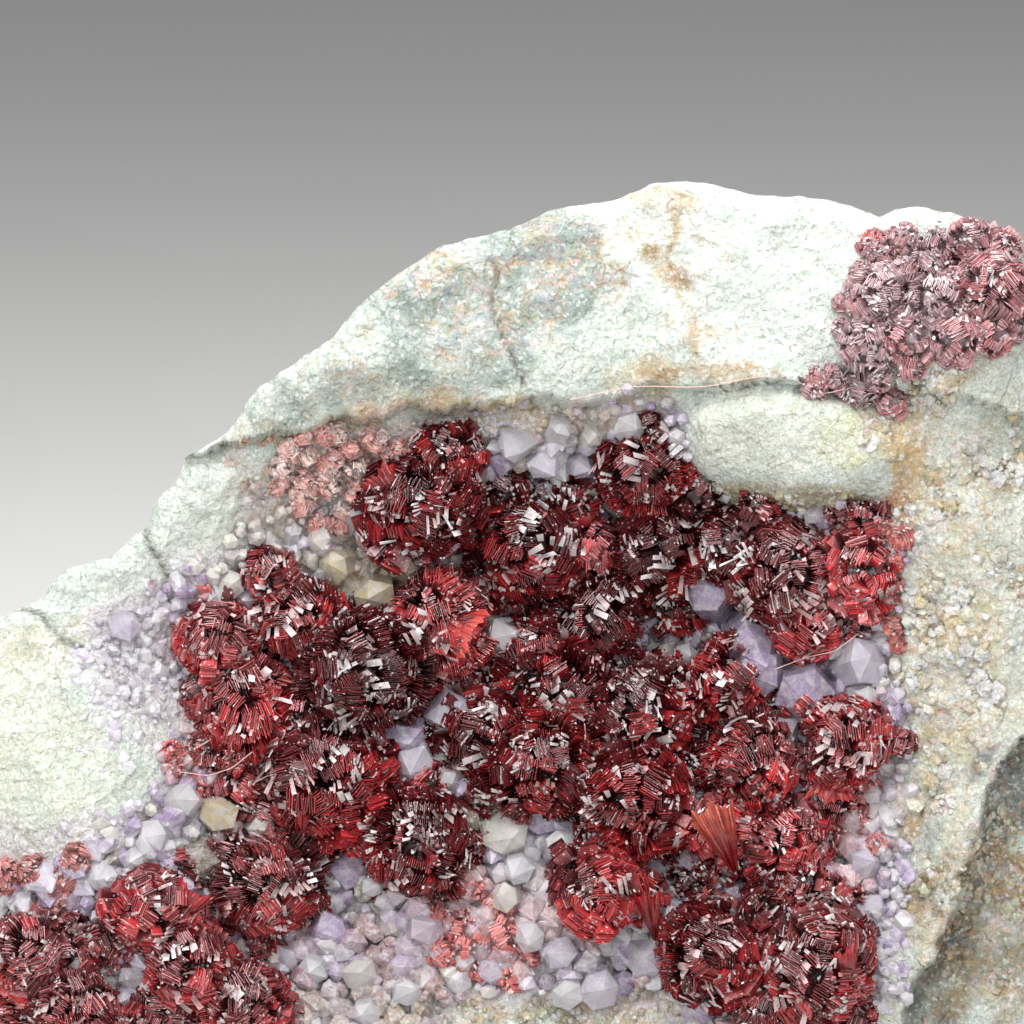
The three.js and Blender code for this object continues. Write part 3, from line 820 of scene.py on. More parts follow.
@dataclass
class Matrix:
    """The block of vein rock, as one closed surface cut flat at its base."""

    front_steps: int = 251
    side_rings: int = 11
    back_rings: int = 12
    rim: float = 1.3
    rim_roll: float = 0.9
    back_top: float = 17.0
    back_rounding: float = 3.0
    base_pull: float = 4.0
    node: str = "matrix_rock"

    def height(self, x: Array, z: Array) -> Array:
        """Return the front's height with its fine chips: the shared relief plus three smaller sizes."""
        smooth = np.zeros(np.shape(x))
        for middle_x, middle_z, half_x, half_z in SMOOTH_PATCHES:
            distance = np.hypot((x - middle_x) / half_x, (z - middle_z) / half_z)
            smooth = np.maximum(smooth, smoothstep(1.6 - distance))
        fine = 0
        for facet in Facet:
            cell, depth, salt = facet.value
            fine = fine + depth * (chips(x, 5, z, cell, salt) + 0.3)
        uneven = fine + 0.5 * cloudy(x, 0, z, 2.4, 91) - 0.25
        grooves = sum(0.3 * np.exp(-((to_line(crack, x, z) / 0.12) ** 2)) for crack in CRACKS)
        return relief(x, z) + self.sharper(x, z) - grooves + (1 - 0.6 * smooth) * uneven

    def sharper(self, x: Array, z: Array) -> Array:
        """Return what makes the two soft steps of the shared relief sharp and ragged.

        A steep smoothstep along a wandering line, minus the shared one that it takes the place of.
        """
        total = np.zeros(np.shape(x))
        ledge = z - np.interp(x, *zip(*UPPER_LEDGE))
        broken, wander = self.past_edge(x, z)
        for away, rise in ((ledge, UPPER_LEDGE_RISE), (broken, -BROKEN_EDGE_DROP)):
            steep = smoothstep((away + wander) / (0.14 * STEP_WIDTH) + 0.5)
            total += rise * (steep - smoothstep(away / STEP_WIDTH + 0.5))
        return total

    @staticmethod
    def past_edge(x: Array, z: Array) -> tuple[Array, Array]:
        """Return how far to the right of the broken edge each point lies, and how the edge wanders."""
        edge_x, edge_z = np.array(BROKEN_EDGE).T
        return x - np.interp(-z, -edge_z, edge_x), 1.2 * (cloudy(x, 0, z, 1.7, 161) - 0.5)

    def front(self) -> tuple[Array, Array, Array]:
        """Return the front's points, its faces and its border.

        A square grid is pressed into a disc, whose radius is then stretched to the outline at each angle.
        The last millimetre rolls back towards the side.
        """
        count = self.front_steps
        right, top = np.meshgrid(np.linspace(-1, 1, count), np.linspace(-1, 1, count))
        wide = np.abs(right) >= np.abs(top)
        safe_right, safe_top = np.where(right == 0, 1, right), np.where(top == 0, 1, top)
        spin = np.where(wide, np.pi / 4 * top / safe_right, np.pi / 2 - np.pi / 4 * right / safe_top)
        reach = np.where(wide, right, top)
        across, up = reach * np.cos(spin), reach * np.sin(spin)
        share, angle = np.hypot(across, up), np.arctan2(up, across)
        edge = self.edge(angle)
        x = ROCK_CENTRE[0] + edge * share * np.cos(angle)
        z = ROCK_CENTRE[1] + edge * share * np.sin(angle)
        roll = np.clip(1 - edge * (1 - share) / self.rim, 0, 1) ** 2
        points = np.stack([x, -self.height(x, z) + self.rim_roll * roll, z], axis=-1).reshape(-1, 3)
        return points, *Surfaces.sheet(count, count)

    def edge(self, angle: Array) -> Array:
        """Return the outline's radius, roughened by small chips that follow the rim."""
        radius = outline_radius(ROCK_OUTLINE, ROCK_CENTRE, angle)
        x, z = radius * np.cos(angle), radius * np.sin(angle)
        for depth, cell, salt in RIM_CHIPS:
            radius = radius + depth * chips(x, 0, z, cell, salt)
        return radius + 0.1

    def rings(self, border: Array) -> Array:
        """Return the rings from the rim over the side to the middle of the back, one row for each ring.

        Each ring is the border drawn in towards the centre. Its depth goes from the rim's to the back's
        along the side, and the back thickens downwards.
        """
        angle = np.arctan2(border[:, 2] - ROCK_CENTRE[1], border[:, 0] - ROCK_CENTRE[0])
        edge = np.hypot(border[:, 0] - ROCK_CENTRE[0], border[:, 2] - ROCK_CENTRE[1])
        shifts = range(-30, 31)
        even = sum(np.roll(edge, shift) for shift in shifts) / len(shifts)
        step = np.arange(1, self.side_rings + self.back_rings)[:, None]
        along = np.clip(step / self.side_rings, 0, 1)
        edge = even + (edge - even) * (1 - along) ** 2
        share = 1 - np.clip((step - self.side_rings) / self.back_rings, 0, 1)
        back_x = ROCK_CENTRE[0] + edge * (1 - BACK_SHRINK) * share * np.cos(angle)
        back_z = ROCK_CENTRE[1] + edge * (1 - BACK_SHRINK) * share * np.sin(angle)
        depth = TOP_THICKNESS + THICKNESS_GAIN * (self.back_top - back_z) - self.back_rounding * share**5
        for size, level, cell, salt in BACK_CHIPS:
            depth = depth + size * chips(back_x, level, back_z, cell, salt)
        y = border[:, 1] + (depth - border[:, 1]) * along
        chipped = 0
        for size, cell, salt in SIDE_CHIPS:
            chipped = chipped + size * chips(border[:, 0], y, border[:, 2], cell, salt)
        radius = edge + (edge * (1 - BACK_SHRINK) * share - edge) * along
        radius = radius + chipped * np.sin(np.pi * along) * (along < 1)
        x = ROCK_CENTRE[0] + radius * np.cos(angle)
        z = ROCK_CENTRE[1] + radius * np.sin(angle)
        return np.stack(np.broadcast_arrays(x, y, z), axis=-1)

    def colours(self, points: Array) -> tuple[Array, Array]:
        """Return the colour and the flecks at each point.

        The stains lie over the ground colour, and their edges wander with the noise. Cracks are darker, and
        the hollow has a tone of its own.
        """
        x, y, z = points.T
        wander = 2.2 * (cloudy(x, y, z, 1.8, 111) - 0.5)
        colours = np.tile(linear(GROUND), (len(points), 1))
        front = smoothstep((6 - y) / 3)

        def lay(share: Array, code: str) -> None:
            """Lay a colour over the others by share."""
            colours[:] = colours * (1 - share[:, None]) + share[:, None] * np.array(linear(code))

        facet = inside(GREY_FACET, GREY_FACET_CENTRE, x, z)
        lay(0.92 * front * smoothstep(facet / 0.5 + wander), GREY_FACET_COLOUR)
        for stain in STAINS:
            lay(stain.share * self.within(stain, x, z, wander) * front, stain.colour)
        away, ragged = self.past_edge(x, z)
        # A painted shadow just past the broken edge and a painted highlight along its crest
        for strength, past, width, code in EDGE_SHADOW_AND_HIGHLIGHT:
            lay(strength * front * np.exp(-(((away + ragged - past) / width) ** 2)), code)
        for run in RUST_RUNS:
            lay(0.8 * front * np.exp(-(((to_line(run, x, z) + 0.16 * wander) / 0.2) ** 2)), RUST_COLOUR)
        for crack in CRACKS:
            lay(0.7 * front * np.exp(-((to_line(crack, x, z) / 0.16) ** 2)), CRACK_COLOUR)
        lay(0.85 * smoothstep(inside(CRUST_OUTLINE, CRUST_CENTRE, x, z) / 1.5 + 0.3) * front, HOLLOW_COLOUR)
        flecks = np.full(len(points), BARE_FLECKS)
        for stain in FLECKED:
            flecks = np.maximum(flecks, stain.share * self.within(stain, x, z, wander) * front)
        return colours, flecks

    @staticmethod
    def within(stain: Stain, x: Array, z: Array, wander: Array) -> Array:
        """Return 1 inside a stain's ellipse, fading to 0 around its ragged edge."""
        distance = np.hypot((x - stain.x) / stain.half_x, (z - stain.z) / stain.half_z)
        return smoothstep((1.2 - distance - wander) / 0.6)

    def build(self, finish: bpy.types.Material) -> None:
        """Make the block, cut its base flat and paint it."""
        points, faces, border = self.front()
        rings = self.rings(points[border])
        count, per_ring = len(points), len(border)
        loops = np.vstack([border, count + np.arange(rings.shape[0] * per_ring).reshape(-1, per_ring)])
        ahead = np.roll(loops, -1, axis=1)
        sides = np.stack([loops[:-1], ahead[:-1], ahead[1:], loops[1:]], axis=-1).reshape(-1, 4)
        middle = rings[-1].mean(axis=0)
        centre = count + rings.shape[0] * per_ring
        fan = np.stack([loops[-1], ahead[-1], np.full(per_ring, centre)], axis=-1)
        every = np.vstack([points, rings.reshape(-1, 3), middle[None]])
        place = standing(every)
        pull = self.base_pull * METRES
        place[:, 2] -= pull * smoothstep(1 - place[:, 2] / pull)
        piece = Surfaces.piece("vein_rock_block", place, [faces, sides, fan], finish)
        self.cut_base(piece)
        place = np.empty(len(piece.data.vertices) * 3, np.float32)
        piece.data.vertices.foreach_get("co", place)
        Surfaces.paint(piece, *self.colours(facing(place.reshape(-1, 3).astype(float))))
        dress(piece, [self.node])

    @staticmethod
    def cut_base(piece: bpy.types.Object) -> None:
        """Cut a piece flat where it meets the floor, close it there and turn its faces outwards.

        The base's edge is marked sharp, so that the sides aren't shaded as if they turned under.
        """
        work = bmesh.new()
        work.from_mesh(piece.data)
        everything = work.verts[:] + work.edges[:] + work.faces[:]
        cut = bmesh.ops.bisect_plane(
            work, geom=everything, plane_co=(0, 0, 0), plane_no=(0, 0, 1), clear_inner=True
        )
        rim = [part for part in cut["geom_cut"] if isinstance(part, bmesh.types.BMEdge)]
        caps = bmesh.ops.contextual_create(work, geom=rim)["faces"]
        bmesh.ops.triangulate(work, faces=caps)
        bmesh.ops.recalc_face_normals(work, faces=work.faces[:])
        for face in work.faces:
            face.smooth = abs(face.normal.z) < 0.999
        for edge in rim:
            edge.smooth = False
        work.to_mesh(piece.data)
        work.free()


# Quartz crystals


@dataclass
class Prisms:
    """Six-sided quartz crystals with pointed ends, as arrays with one row for each crystal."""

    root: Array
    axis: Array
    radius: Array
    below: Array
    rise: Array
    tip: Array
    spin: Array
    colour: Array

    CORNERS = 6
    STRIDE = 2 * CORNERS + 1
    UNEVEN = (0.8, 1.12)
    FOOT_WIDTH = 0.92
    PEAK_LEAN = 0.42
    # Painted shade and light: colour scales at the foot, the shoulder and the peak
    PAINTED_SHADE_FADES = (0.8, 0.97, 1.1)

    def mesh(self, rng: np.random.Generator) -> Part:
        """Return points, faces and colours.

        Each cross-section is a hexagon whose corners move in and out a little, the same at the root and at
        the shoulder, so the sides stay flat. The point leans off the axis, so its six faces differ in size.
        The colour is darker at the foot, painted shade, and lighter at the peak, painted light.
        """
        count = len(self.root)
        hint = np.where(np.abs(self.axis[:, :1]) < 0.8, [[1.0, 0, 0]], [[0, 0, 1.0]])
        side = square_to(self.axis, hint)
        other = np.cross(self.axis, side)
        turn = self.spin[:, None] + np.arange(self.CORNERS) * np.pi / 3
        uneven = self.radius[:, None] * rng.uniform(*self.UNEVEN, (count, self.CORNERS))
        aside, beside = uneven * np.cos(turn), uneven * np.sin(turn)
        flat = aside[..., None] * side[:, None] + beside[..., None] * other[:, None]
        low = self.root[:, None] + flat * self.FOOT_WIDTH - (self.below[:, None] * self.axis)[:, None]
        high = self.root[:, None] + flat + (self.rise[:, None] * self.axis)[:, None]
        lean = rng.uniform(-self.PEAK_LEAN, self.PEAK_LEAN, (count, 2)) * self.radius[:, None]
        peak = self.root + (self.rise + self.tip * self.radius)[:, None] * self.axis
        peak = peak + lean[:, :1] * side + lean[:, 1:] * other
        points = np.concatenate([low, high, peak[:, None]], axis=1).reshape(-1, 3)
        ring = np.arange(self.CORNERS)
        ahead = (ring + 1) % self.CORNERS
        over, over_ahead = ring + self.CORNERS, ahead + self.CORNERS
        walls = np.stack([ring, ahead, over_ahead, over], axis=-1)
        roofs = np.stack([over, over_ahead, np.full(self.CORNERS, 2 * self.CORNERS)], axis=-1)
        foot = ring[::-1][None]
        faces = [Surfaces.repeat(group, count, self.STRIDE) for group in (walls, roofs, foot)]
        # Painted shade at the foot, painted light at the peak
        painted_shade = np.repeat(self.PAINTED_SHADE_FADES, (self.CORNERS, self.CORNERS, 1))
        colour = np.clip(self.colour[:, None] * painted_shade[None, :, None], 0, 1).reshape(-1, 3)
        return points, faces, colour


@dataclass(frozen=True)
class LargeCrystal:
    """A crystal that the photograph shows plainly.

    Its place, its radius, how high its shoulder is, its lean, its clock angle and its tone.
    """

    x: float
    z: float
    radius: float
    rise: float
    lean: float
    turn: float
    tone: str


LILAC, PALE, MILK, CREAM, SMOKE, AMBER = "ccb6da", "e8def0", "f6f3f8", "f8f2e6", "b0a48e", "f6e4b8"
LARGE_CRYSTALS = tuple(
    LargeCrystal(*row)
    for row in (
        (-1.4, -7.2, 1.2, 2.2, 45, 35, MILK), (-3.2, -9.4, 1.35, 2, 35, -80, PALE),
        (-5.5, -10.9, 1.4, 1.6, 30, -100, LILAC), (-4.8, -12.5, 1.2, 1.2, 20, -90, PALE),
        (-3.6, -13.2, 0.6, 1.4, 25, -40, MILK), (-16.3, -14.7, 1, 0.9, 25, 150, MILK),
        (-14.8, -15.4, 1.1, 1.2, 15, 80, AMBER), (-13, -15.6, 0.8, 1.3, 25, -40, CREAM),
        (-17.8, -16.2, 0.9, 0.8, 20, 170, MILK), (-15.8, -17.4, 1.2, 0.8, 25, -90, SMOKE),
        (-18.6, -17.4, 0.7, 0.8, 25, 200, MILK), (-8.1, -18.1, 1.2, 1, 20, 60, LILAC),
        (-7.3, -18.6, 0.6, 1.3, 20, -30, MILK), (-9.9, -22.8, 0.8, 0.9, 25, 240, MILK),
        (-7.8, -23, 1, 1.1, 15, -60, CREAM), (-4.6, -21, 1.1, 0.9, 25, 30, PALE),
        (-7.3, -24.9, 0.8, 0.8, 25, -90, MILK), (-5.4, -24, 0.8, 0.7, 20, -30, MILK),
        (-9.1, -21.1, 1.2, 0.9, 15, 200, LILAC), (-0.2, -16.4, 1.3, 1.1, 20, 120, CREAM),
        (0.3, -17.6, 0.8, 1.6, 15, -90, MILK), (2.2, -17.2, 0.8, 1.5, 25, 70, MILK),
        (1.6, -15.6, 1.2, 1, 25, 100, LILAC), (0.1, -19.3, 0.8, 1.3, 20, 180, CREAM),
        (0.9, -20.9, 0.9, 1.2, 20, -90, MILK), (4.3, -20.4, 0.9, 1, 25, -60, MILK),
        (5.5, -20.2, 0.8, 1.2, 25, 20, PALE), (6.6, -22.2, 1.1, 1.2, 45, -45, PALE),
        (4.4, -23.7, 1.1, 0.9, 15, -90, PALE), (2.8, -24, 0.8, 0.9, 15, -100, MILK),
        (8.7, -17.6, 0.9, 0.9, 25, 90, LILAC), (9, -19.9, 0.8, 1.2, 20, -60, MILK),
        (8.2, -20.1, 0.6, 1, 20, 200, CREAM), (9.4, -24.8, 1, 0.7, 20, -100, LILAC),
        (10.4, -4.7, 1.4, 2.2, 25, 130, LILAC), (11.9, -6.3, 1.6, 2.3, 20, -60, LILAC),
        (13.2, -7.8, 1.5, 2.2, 30, 200, LILAC), (14.7, -8.6, 1.6, 1.9, 25, -90, LILAC),
        (17.1, -7.8, 1.3, 1.7, 30, 20, PALE), (17.4, -9.2, 0.9, 1.2, 25, -30, MILK),
        (13.9, -10.8, 1, 2.2, 30, 240, PALE), (0.4, 3.6, 0.8, 0.9, 50, -150, MILK),
        (1.4, 2.7, 0.9, 0.8, 30, -60, PALE), (2.1, 3.8, 0.7, 1, 40, 60, MILK),
        (3.1, 2.4, 0.8, 0.8, 45, -10, PALE), (-0.3, 2.6, 0.7, 0.7, 35, 200, LILAC),
        (3.7, 3.6, 0.6, 0.9, 30, 40, CREAM), (5.9, 4.4, 0.9, 0.9, 20, -90, MILK),
        (-8.4, -2.6, 1, 1.5, 25, 200, AMBER), (-6.6, -1.9, 0.9, 1.4, 30, 100, CREAM),
        (-7, -3.9, 1.2, 1.8, 20, -80, AMBER), (-5.6, -2.9, 0.9, 1.6, 35, 10, AMBER),
        (-4.7, -3.9, 0.8, 1.3, 25, -40, AMBER), (-9.3, -1.7, 0.7, 1.2, 30, 150, CREAM),
        (-7.9, -0.7, 0.6, 1.1, 35, 60, MILK), (-11.1, -6.2, 0.7, 1.2, 20, 60, AMBER),
        (-2.4, -15.2, 0.7, 1.4, 20, -60, SMOKE), (-19.4, -5.8, 0.9, 0.5, 20, 90, PALE),
        (17.6, -17.6, 1, 0.6, 20, -30, PALE), (17.9, -20, 0.9, 0.6, 20, 0, PALE),
        (-20.3, -18.2, 0.9, 0.6, 20, 190, MILK), (2.6, -22.3, 1, 0.9, 20, 150, PALE),
    )
)


def outward(lean: Array, turn: Array) -> Array:
    """Return directions that lean away from the face's outward one towards a clock angle, in degrees."""
    tilt, around = np.radians(lean), np.radians(turn)
    return np.stack([np.sin(tilt) * np.cos(around), -np.cos(tilt), np.sin(tilt) * np.sin(around)], axis=-1)


def scatter(low: Sequence[float], high: Sequence[float], pitch: float, rng: np.random.Generator) -> Array:
    """Return jittered points of a square grid over a rectangle of the face, one row of x and z for each."""
    x, z = np.meshgrid(np.arange(low[0], high[0], pitch), np.arange(low[1], high[1], pitch))
    points = np.stack([x.ravel(), z.ravel()], axis=-1)
    return points + rng.uniform(-0.5, 0.5, points.shape) * pitch


def palette(codes: Sequence[str], weights: Sequence[float], count: int, rng: np.random.Generator) -> Array:
    """Return count linear colours drawn from a list by weight, each a little lighter or darker."""
    colours = np.array([linear(code) for code in codes])
    drawn = colours[rng.choice(len(codes), count, p=np.array(weights) / sum(weights))]
    return np.clip(drawn * rng.uniform(0.88, 1.08, (count, 1)), 0, 1)


QUARTZ_STAINS_AND_SHINE = (
    Stain("rosy crust at the top left", -8.5, 1.4, 5.6, 3, "f0cfc6", 0.85),
    Stain("brown crust under the ledge", -4, 4.4, 10, 1.1, "d6bf9c", 0.8),
    Stain("yellow crystals", -6.8, -2.6, 2.6, 1.6, "e0c995", 0.7),
    Stain("left band", -19, -8, 3.4, 5, "fbf6fb", 0.9),
    Stain("cream edge", -13.4, -0.8, 2.6, 3, "f2ecdc", 0.85),
    Stain("white crystals below", 0.6, -18.6, 3, 3.6, "f8f4f8", 0.7),
    Stain("grey-lilac crystals below", -8, -22, 5, 3, "d8c8dc", 0.4),
    Stain("rust between them", -7, -21.4, 0.8, 2.2, "b98a66", 0.6),
    Stain("right edge", 18, -16, 2, 10, "efe8ec", 0.6),
    Stain("warm foot", 2, -25, 8, 1.2, "c9bd98", 0.8),
    Stain("rosy crust on the left", -16, -12.6, 2.6, 1.6, "dc9a98", 0.6),
    Stain("rosy crust below", 12.6, -18.4, 3.2, 2, "e0a29c", 0.5),
    Stain("pink crystals on the right", 16.9, -17.4, 1.7, 3, "d08a94", 0.65),
    # The three shine patches are painted reflections: red and brown light from around, painted on the
    # quartz
    Stain("red shine below", -1, -20.5, 4, 3, "d89a98", 0.6),
    Stain("red shine on the left", -11, -20, 2, 4, "cf9a9c", 0.5),
    Stain("brown shine below", -5, -24.6, 5, 1.6, "b39a80", 0.6),
    Stain("grey foot", 3, -23, 3, 1.6, "a89ca0", 0.5),
)
FINE_SPOTS = (
    Stain("rosy crust at the top left", -8.5, 1.4, 5.6, 3, "", 0.6),
    Stain("under the ledge", -4, 4.4, 10, 1.1, "", 0.6),
    Stain("left band", -19, -8, 3.4, 5, "", 0.5),
    Stain("foot", 2, -25, 8, 1.2, "", 0.5),
)
# The tones of the strewn crystals, and how often each is drawn
STREWN_TONES = (LILAC, PALE, MILK, CREAM, SMOKE, "d8a8ac")
STREWN_WEIGHTS = (4.5, 4, 4, 1.5, 0.8, 0.8)


@dataclass
class QuartzCrust:
    """The quartz crystals that line the hollow: the large ones listed one by one, the others strewn between
    them.
    """

    pitch: float = 0.72
    sizes: tuple[float, float] = (0.3, 0.85)
    rises: tuple[float, float] = (0.05, 0.7)
    most_lean: float = 52.0
    low_corner: tuple[float, float] = (-30, -33)
    high_corner: tuple[float, float] = (21, 7)
    node: str = "quartz_crust"

    @staticmethod
    def fineness(x: Array, z: Array) -> Array:
        """Return how large the strewn crystals are at each point, as a share."""
        share = np.zeros(np.shape(x))
        for spot in FINE_SPOTS:
            share = np.maximum(share, spot.share * Matrix.within(spot, x, z, np.zeros(np.shape(x))))
        return 1 - share

    def large(self) -> Prisms:
        """Return the crystals that are listed one by one."""
        places = [(one.x, one.z, one.radius, one.rise, one.lean, one.turn) for one in LARGE_CRYSTALS]
        x, z, radius, rise, lean, turn = np.array(places).T
        colour = np.array([linear(one.tone) for one in LARGE_CRYSTALS])
        tip = 0.4 + 0.5 * ((turn * 0.618) % 1)
        below = np.full_like(x, 1.2)
        return Prisms(on_face(x, z), outward(lean, turn), radius, below, rise, tip, turn * 0.37, colour)

    def strewn(self, rng: np.random.Generator) -> Prisms:
        """Return the smaller crystals, on a jittered grid over the whole hollow."""
        x, z = scatter(self.low_corner, self.high_corner, self.pitch, rng).T
        kept = inside(CRUST_OUTLINE, CRUST_CENTRE, x, z) > -0.2
        x, z = x[kept], z[kept]
        count = len(x)
        edge = inside(CRUST_OUTLINE, CRUST_CENTRE, x, z)
        small = np.clip(0.45 + 0.2 * edge, 0.45, 1) * self.fineness(x, z)
        radius = rng.uniform(*self.sizes, count) * small
        rise = rng.uniform(*self.rises, count) * small
        axis = outward(rng.uniform(0, self.most_lean, count), rng.uniform(0, 360, count))
        colour = palette(STREWN_TONES, STREWN_WEIGHTS, count, rng)
        wander = 2.2 * (cloudy(x, 0, z, 1.8, 181) - 0.5)
        for stain in QUARTZ_STAINS_AND_SHINE:
            share = stain.share * Matrix.within(stain, x, z, wander)[:, None]
            colour = colour * (1 - share) + share * np.array(linear(stain.colour))
        tip, spin = rng.uniform(0.6, 1.4, count), rng.uniform(0, 6, count)
        return Prisms(on_face(x, z), axis, radius, np.full(count, 0.8), rise, tip, spin, colour)

    def build(self, milky: bpy.types.Material, clear: bpy.types.Material) -> None:
        """Make the strewn crystals and the large ones, as two pieces."""
        rng = np.random.default_rng(SEED)
        lining = joined("quartz_lining", [self.strewn(rng).mesh(rng)], milky)
        dress(lining, [self.node])
        dress(joined("quartz_points", [self.large().mesh(rng)], clear))


def joined(
    name: str,
    parts: Sequence[Part],
    finish: bpy.types.Material,
    flecks: float = 0.0,
) -> bpy.types.Object:
    """Make one painted piece from several sets of points, faces and colours.

    Args:
        name: the piece's name.
        parts: for each set, its points in the face frame, its groups of faces and its colours.
        finish: the material.
        flecks: how strongly coloured flecks show.

    Returns:
        The new object.
    """
    offset, groups = 0, []
    for points, faces, _ in parts:
        groups += [group + offset for group in faces]
        offset += len(points)
    piece = Surfaces.piece(name, standing(np.vstack([part[0] for part in parts])), groups, finish)
    Surfaces.paint(piece, np.vstack([part[2] for part in parts]), flecks)
    return piece


@dataclass(frozen=True)
class GrainPatch:
    """A stretch of stone that is sugared with small quartz grains."""

    x: float
    z: float
    half_x: float
    half_z: float
    size: float
    tones: tuple[str, ...]
    stone: bool = True


GRAIN_PATCHES = (
    GrainPatch(22, -6, 4.5, 13, 0.24, (MILK, MILK, CREAM, "eceee4", "e6e0cc", "dccba4")),
    GrainPatch(20, 6, 3, 5, 0.2, (MILK, CREAM, "e0d0ac")),
    GrainPatch(-18.6, -8.5, 3.6, 4.8, 0.24, (PALE, MILK, MILK), False),
    GrainPatch(-20, -17, 6, 2.2, 0.28, (PALE, MILK, CREAM), False),
    GrainPatch(-8, 2, 6.5, 3, 0.2, (MILK, "e8c4ba", "dcc4a4", "d9928c")),
    GrainPatch(2, 4.6, 6, 1.2, 0.24, (MILK, PALE, "d6c4a0")),
    GrainPatch(18.5, -19, 1.6, 8, 0.3, (PALE, MILK, LILAC), False),
    GrainPatch(3, -25.6, 9, 1.2, 0.22, ("c4bc98", MILK, "aaa482")),
    GrainPatch(13.8, 0.5, 5.5, 0.9, 0.2, ("bca874", CREAM, "a4966a")),
    GrainPatch(25, -19, 4.5, 8, 0.2, ("b8a682", "cfc8ac", "a08e6c", "b4beb0")),
)


@dataclass
class Grains:
    """The small quartz grains on the stone around the hollow."""

    pitch: float = 0.34
    usual_size: float = 0.24
    most_lean: float = 55.0
    flecks: float = 0.6

    def patch(self, patch: GrainPatch, rng: np.random.Generator) -> Part:
        """Return the mesh of one stretch, thinning out towards its edge."""
        low = (patch.x - patch.half_x, patch.z - patch.half_z)
        high = (patch.x + patch.half_x, patch.z + patch.half_z)
        x, z = scatter(low, high, self.pitch * patch.size / self.usual_size, rng).T
        distance = np.hypot((x - patch.x) / patch.half_x, (z - patch.z) / patch.half_z)
        on_stone = inside(ROCK_OUTLINE, ROCK_CENTRE, x, z) > 0.8
        clumps = cloudy(x, 0, z, 1.8, 131)
        sparse = 2.6 * (clumps - 0.42) if patch.stone else 1.4 * (clumps - 0.5)
        kept = on_stone & (distance + sparse + rng.uniform(0, 0.7, len(x)) < 1.05)
        x, z = x[kept], z[kept]
        count = len(x)
        radius = patch.size * (0.6 + 1.6 * rng.uniform(0, 1, count) ** 3)
        axis = outward(rng.uniform(0, self.most_lean, count), rng.uniform(0, 360, count))
        colour = palette(patch.tones, [1] * len(patch.tones), count, rng)
        lift, most_rise = (-0.16, 0.15) if patch.stone else (-0.12, 0.4)
        rise = radius * rng.uniform(0, most_rise, count)
        tip, spin = rng.uniform(0.25, 0.5, count), rng.uniform(0, 6, count)
        return Prisms(on_face(x, z, lift), axis, radius, radius, rise, tip, spin, colour).mesh(rng)

    def build(self, quartz: bpy.types.Material, stone: bpy.types.Material) -> None:
        """Make the grains as two pieces: quartz by the hollow, and stone elsewhere."""
        rng = np.random.default_rng(SEED + 1)
        kinds = (
            ("quartz_grains", quartz, "clear_quartz", False),
            ("stone_grains", stone, "vein_rock", True),
        )
        for name, finish, slot, of_stone in kinds:
            parts = [self.patch(patch, rng) for patch in GRAIN_PATCHES if patch.stone == of_stone]
            dress(joined(name, parts, finish, self.flecks))


# Wendwilsonite


@dataclass
class Blades:
    """Thin crystal blades with pointed ends, as arrays with one row for each blade."""

    root: Array
    out: Array
    across: Array
    length: Array
    width: Array
    thick: Array
    colour: Array

    STRIDE = 6
    SIDES = ((0, 2, 3, 1), (1, 5, 4, 0), (4, 5, 3, 2))
    ENDS = ((0, 4, 2), (1, 3, 5))
    # Painted shade at a blade's two root corners, and a little painted light at its four tip corners
    PAINTED_SHADE_FADES = (0.45, 0.45, 1.05, 1.05, 1.05, 1.05)

    def mesh(self, rng: np.random.Generator) -> Part:
        """Return points, faces and colours.

        Each blade is a thin wedge, keen at its root, with its tip cut askew. Painted shade darkens its
        root.
        """
        count = len(self.root)
        normal = np.cross(self.out, self.across)
        askew = rng.uniform(-0.3, 0.05, (count, 2)) * np.minimum(1, self.skew)[:, None]
        reach = self.length[:, None] * (1 + askew)
        beside = self.width[:, None] * np.array([-0.5, 0.5]) * rng.uniform(0.7, 1.0, (count, 2))
        behind = self.length[:, None] * rng.uniform(-0.14, 0.14, (count, 2))
        foot = self.root[:, None] + (0.9 * beside)[..., None] * self.across[:, None]
        foot = foot + behind[..., None] * self.out[:, None]
        tip = self.root[:, None] + reach[..., None] * self.out[:, None]
        tip = tip + beside[..., None] * self.across[:, None]
        half = (0.5 * self.thick)[:, None, None] * normal[:, None]
        points = np.concatenate([foot, tip + half, tip - half], axis=1).reshape(-1, 3)
        faces = [Surfaces.repeat(group, count, self.STRIDE) for group in (self.SIDES, self.ENDS)]
        painted_shade = np.array(self.PAINTED_SHADE_FADES)
        colour = np.clip(self.colour[:, None] * painted_shade[None, :, None], 0, 1).reshape(-1, 3)
        return points, faces, colour

    @property
    def skew(self) -> Array:
        """Return how askew the tips are cut: less for a long blade than for a short one."""
        return 0.5 / np.maximum(self.length, 0.25)


class Habit(Enum):
    """How a rosette's blades stand: round its middle like petals, away from it like rays, or in sheaves."""

    PETALS = 0.0
    SHEAVES = 45.0
    RAYS = 90.0


@dataclass(frozen=True)
class Rosette:
    """One ball of blades.

    Its place on the face, its radius, its lift as a share of that, its habit, how bright its red and its
    painted glow are, how much of it carries painted grey-white glints, and the colour and share of a veil
    over it.
    """

    x: float
    z: float
    radius: float
    lift: float
    habit: Habit = Habit.SHEAVES
    bright: float = 0.3
    grey: float = 0.3
    veil: str = "000000"
    veiled: float = 0.0


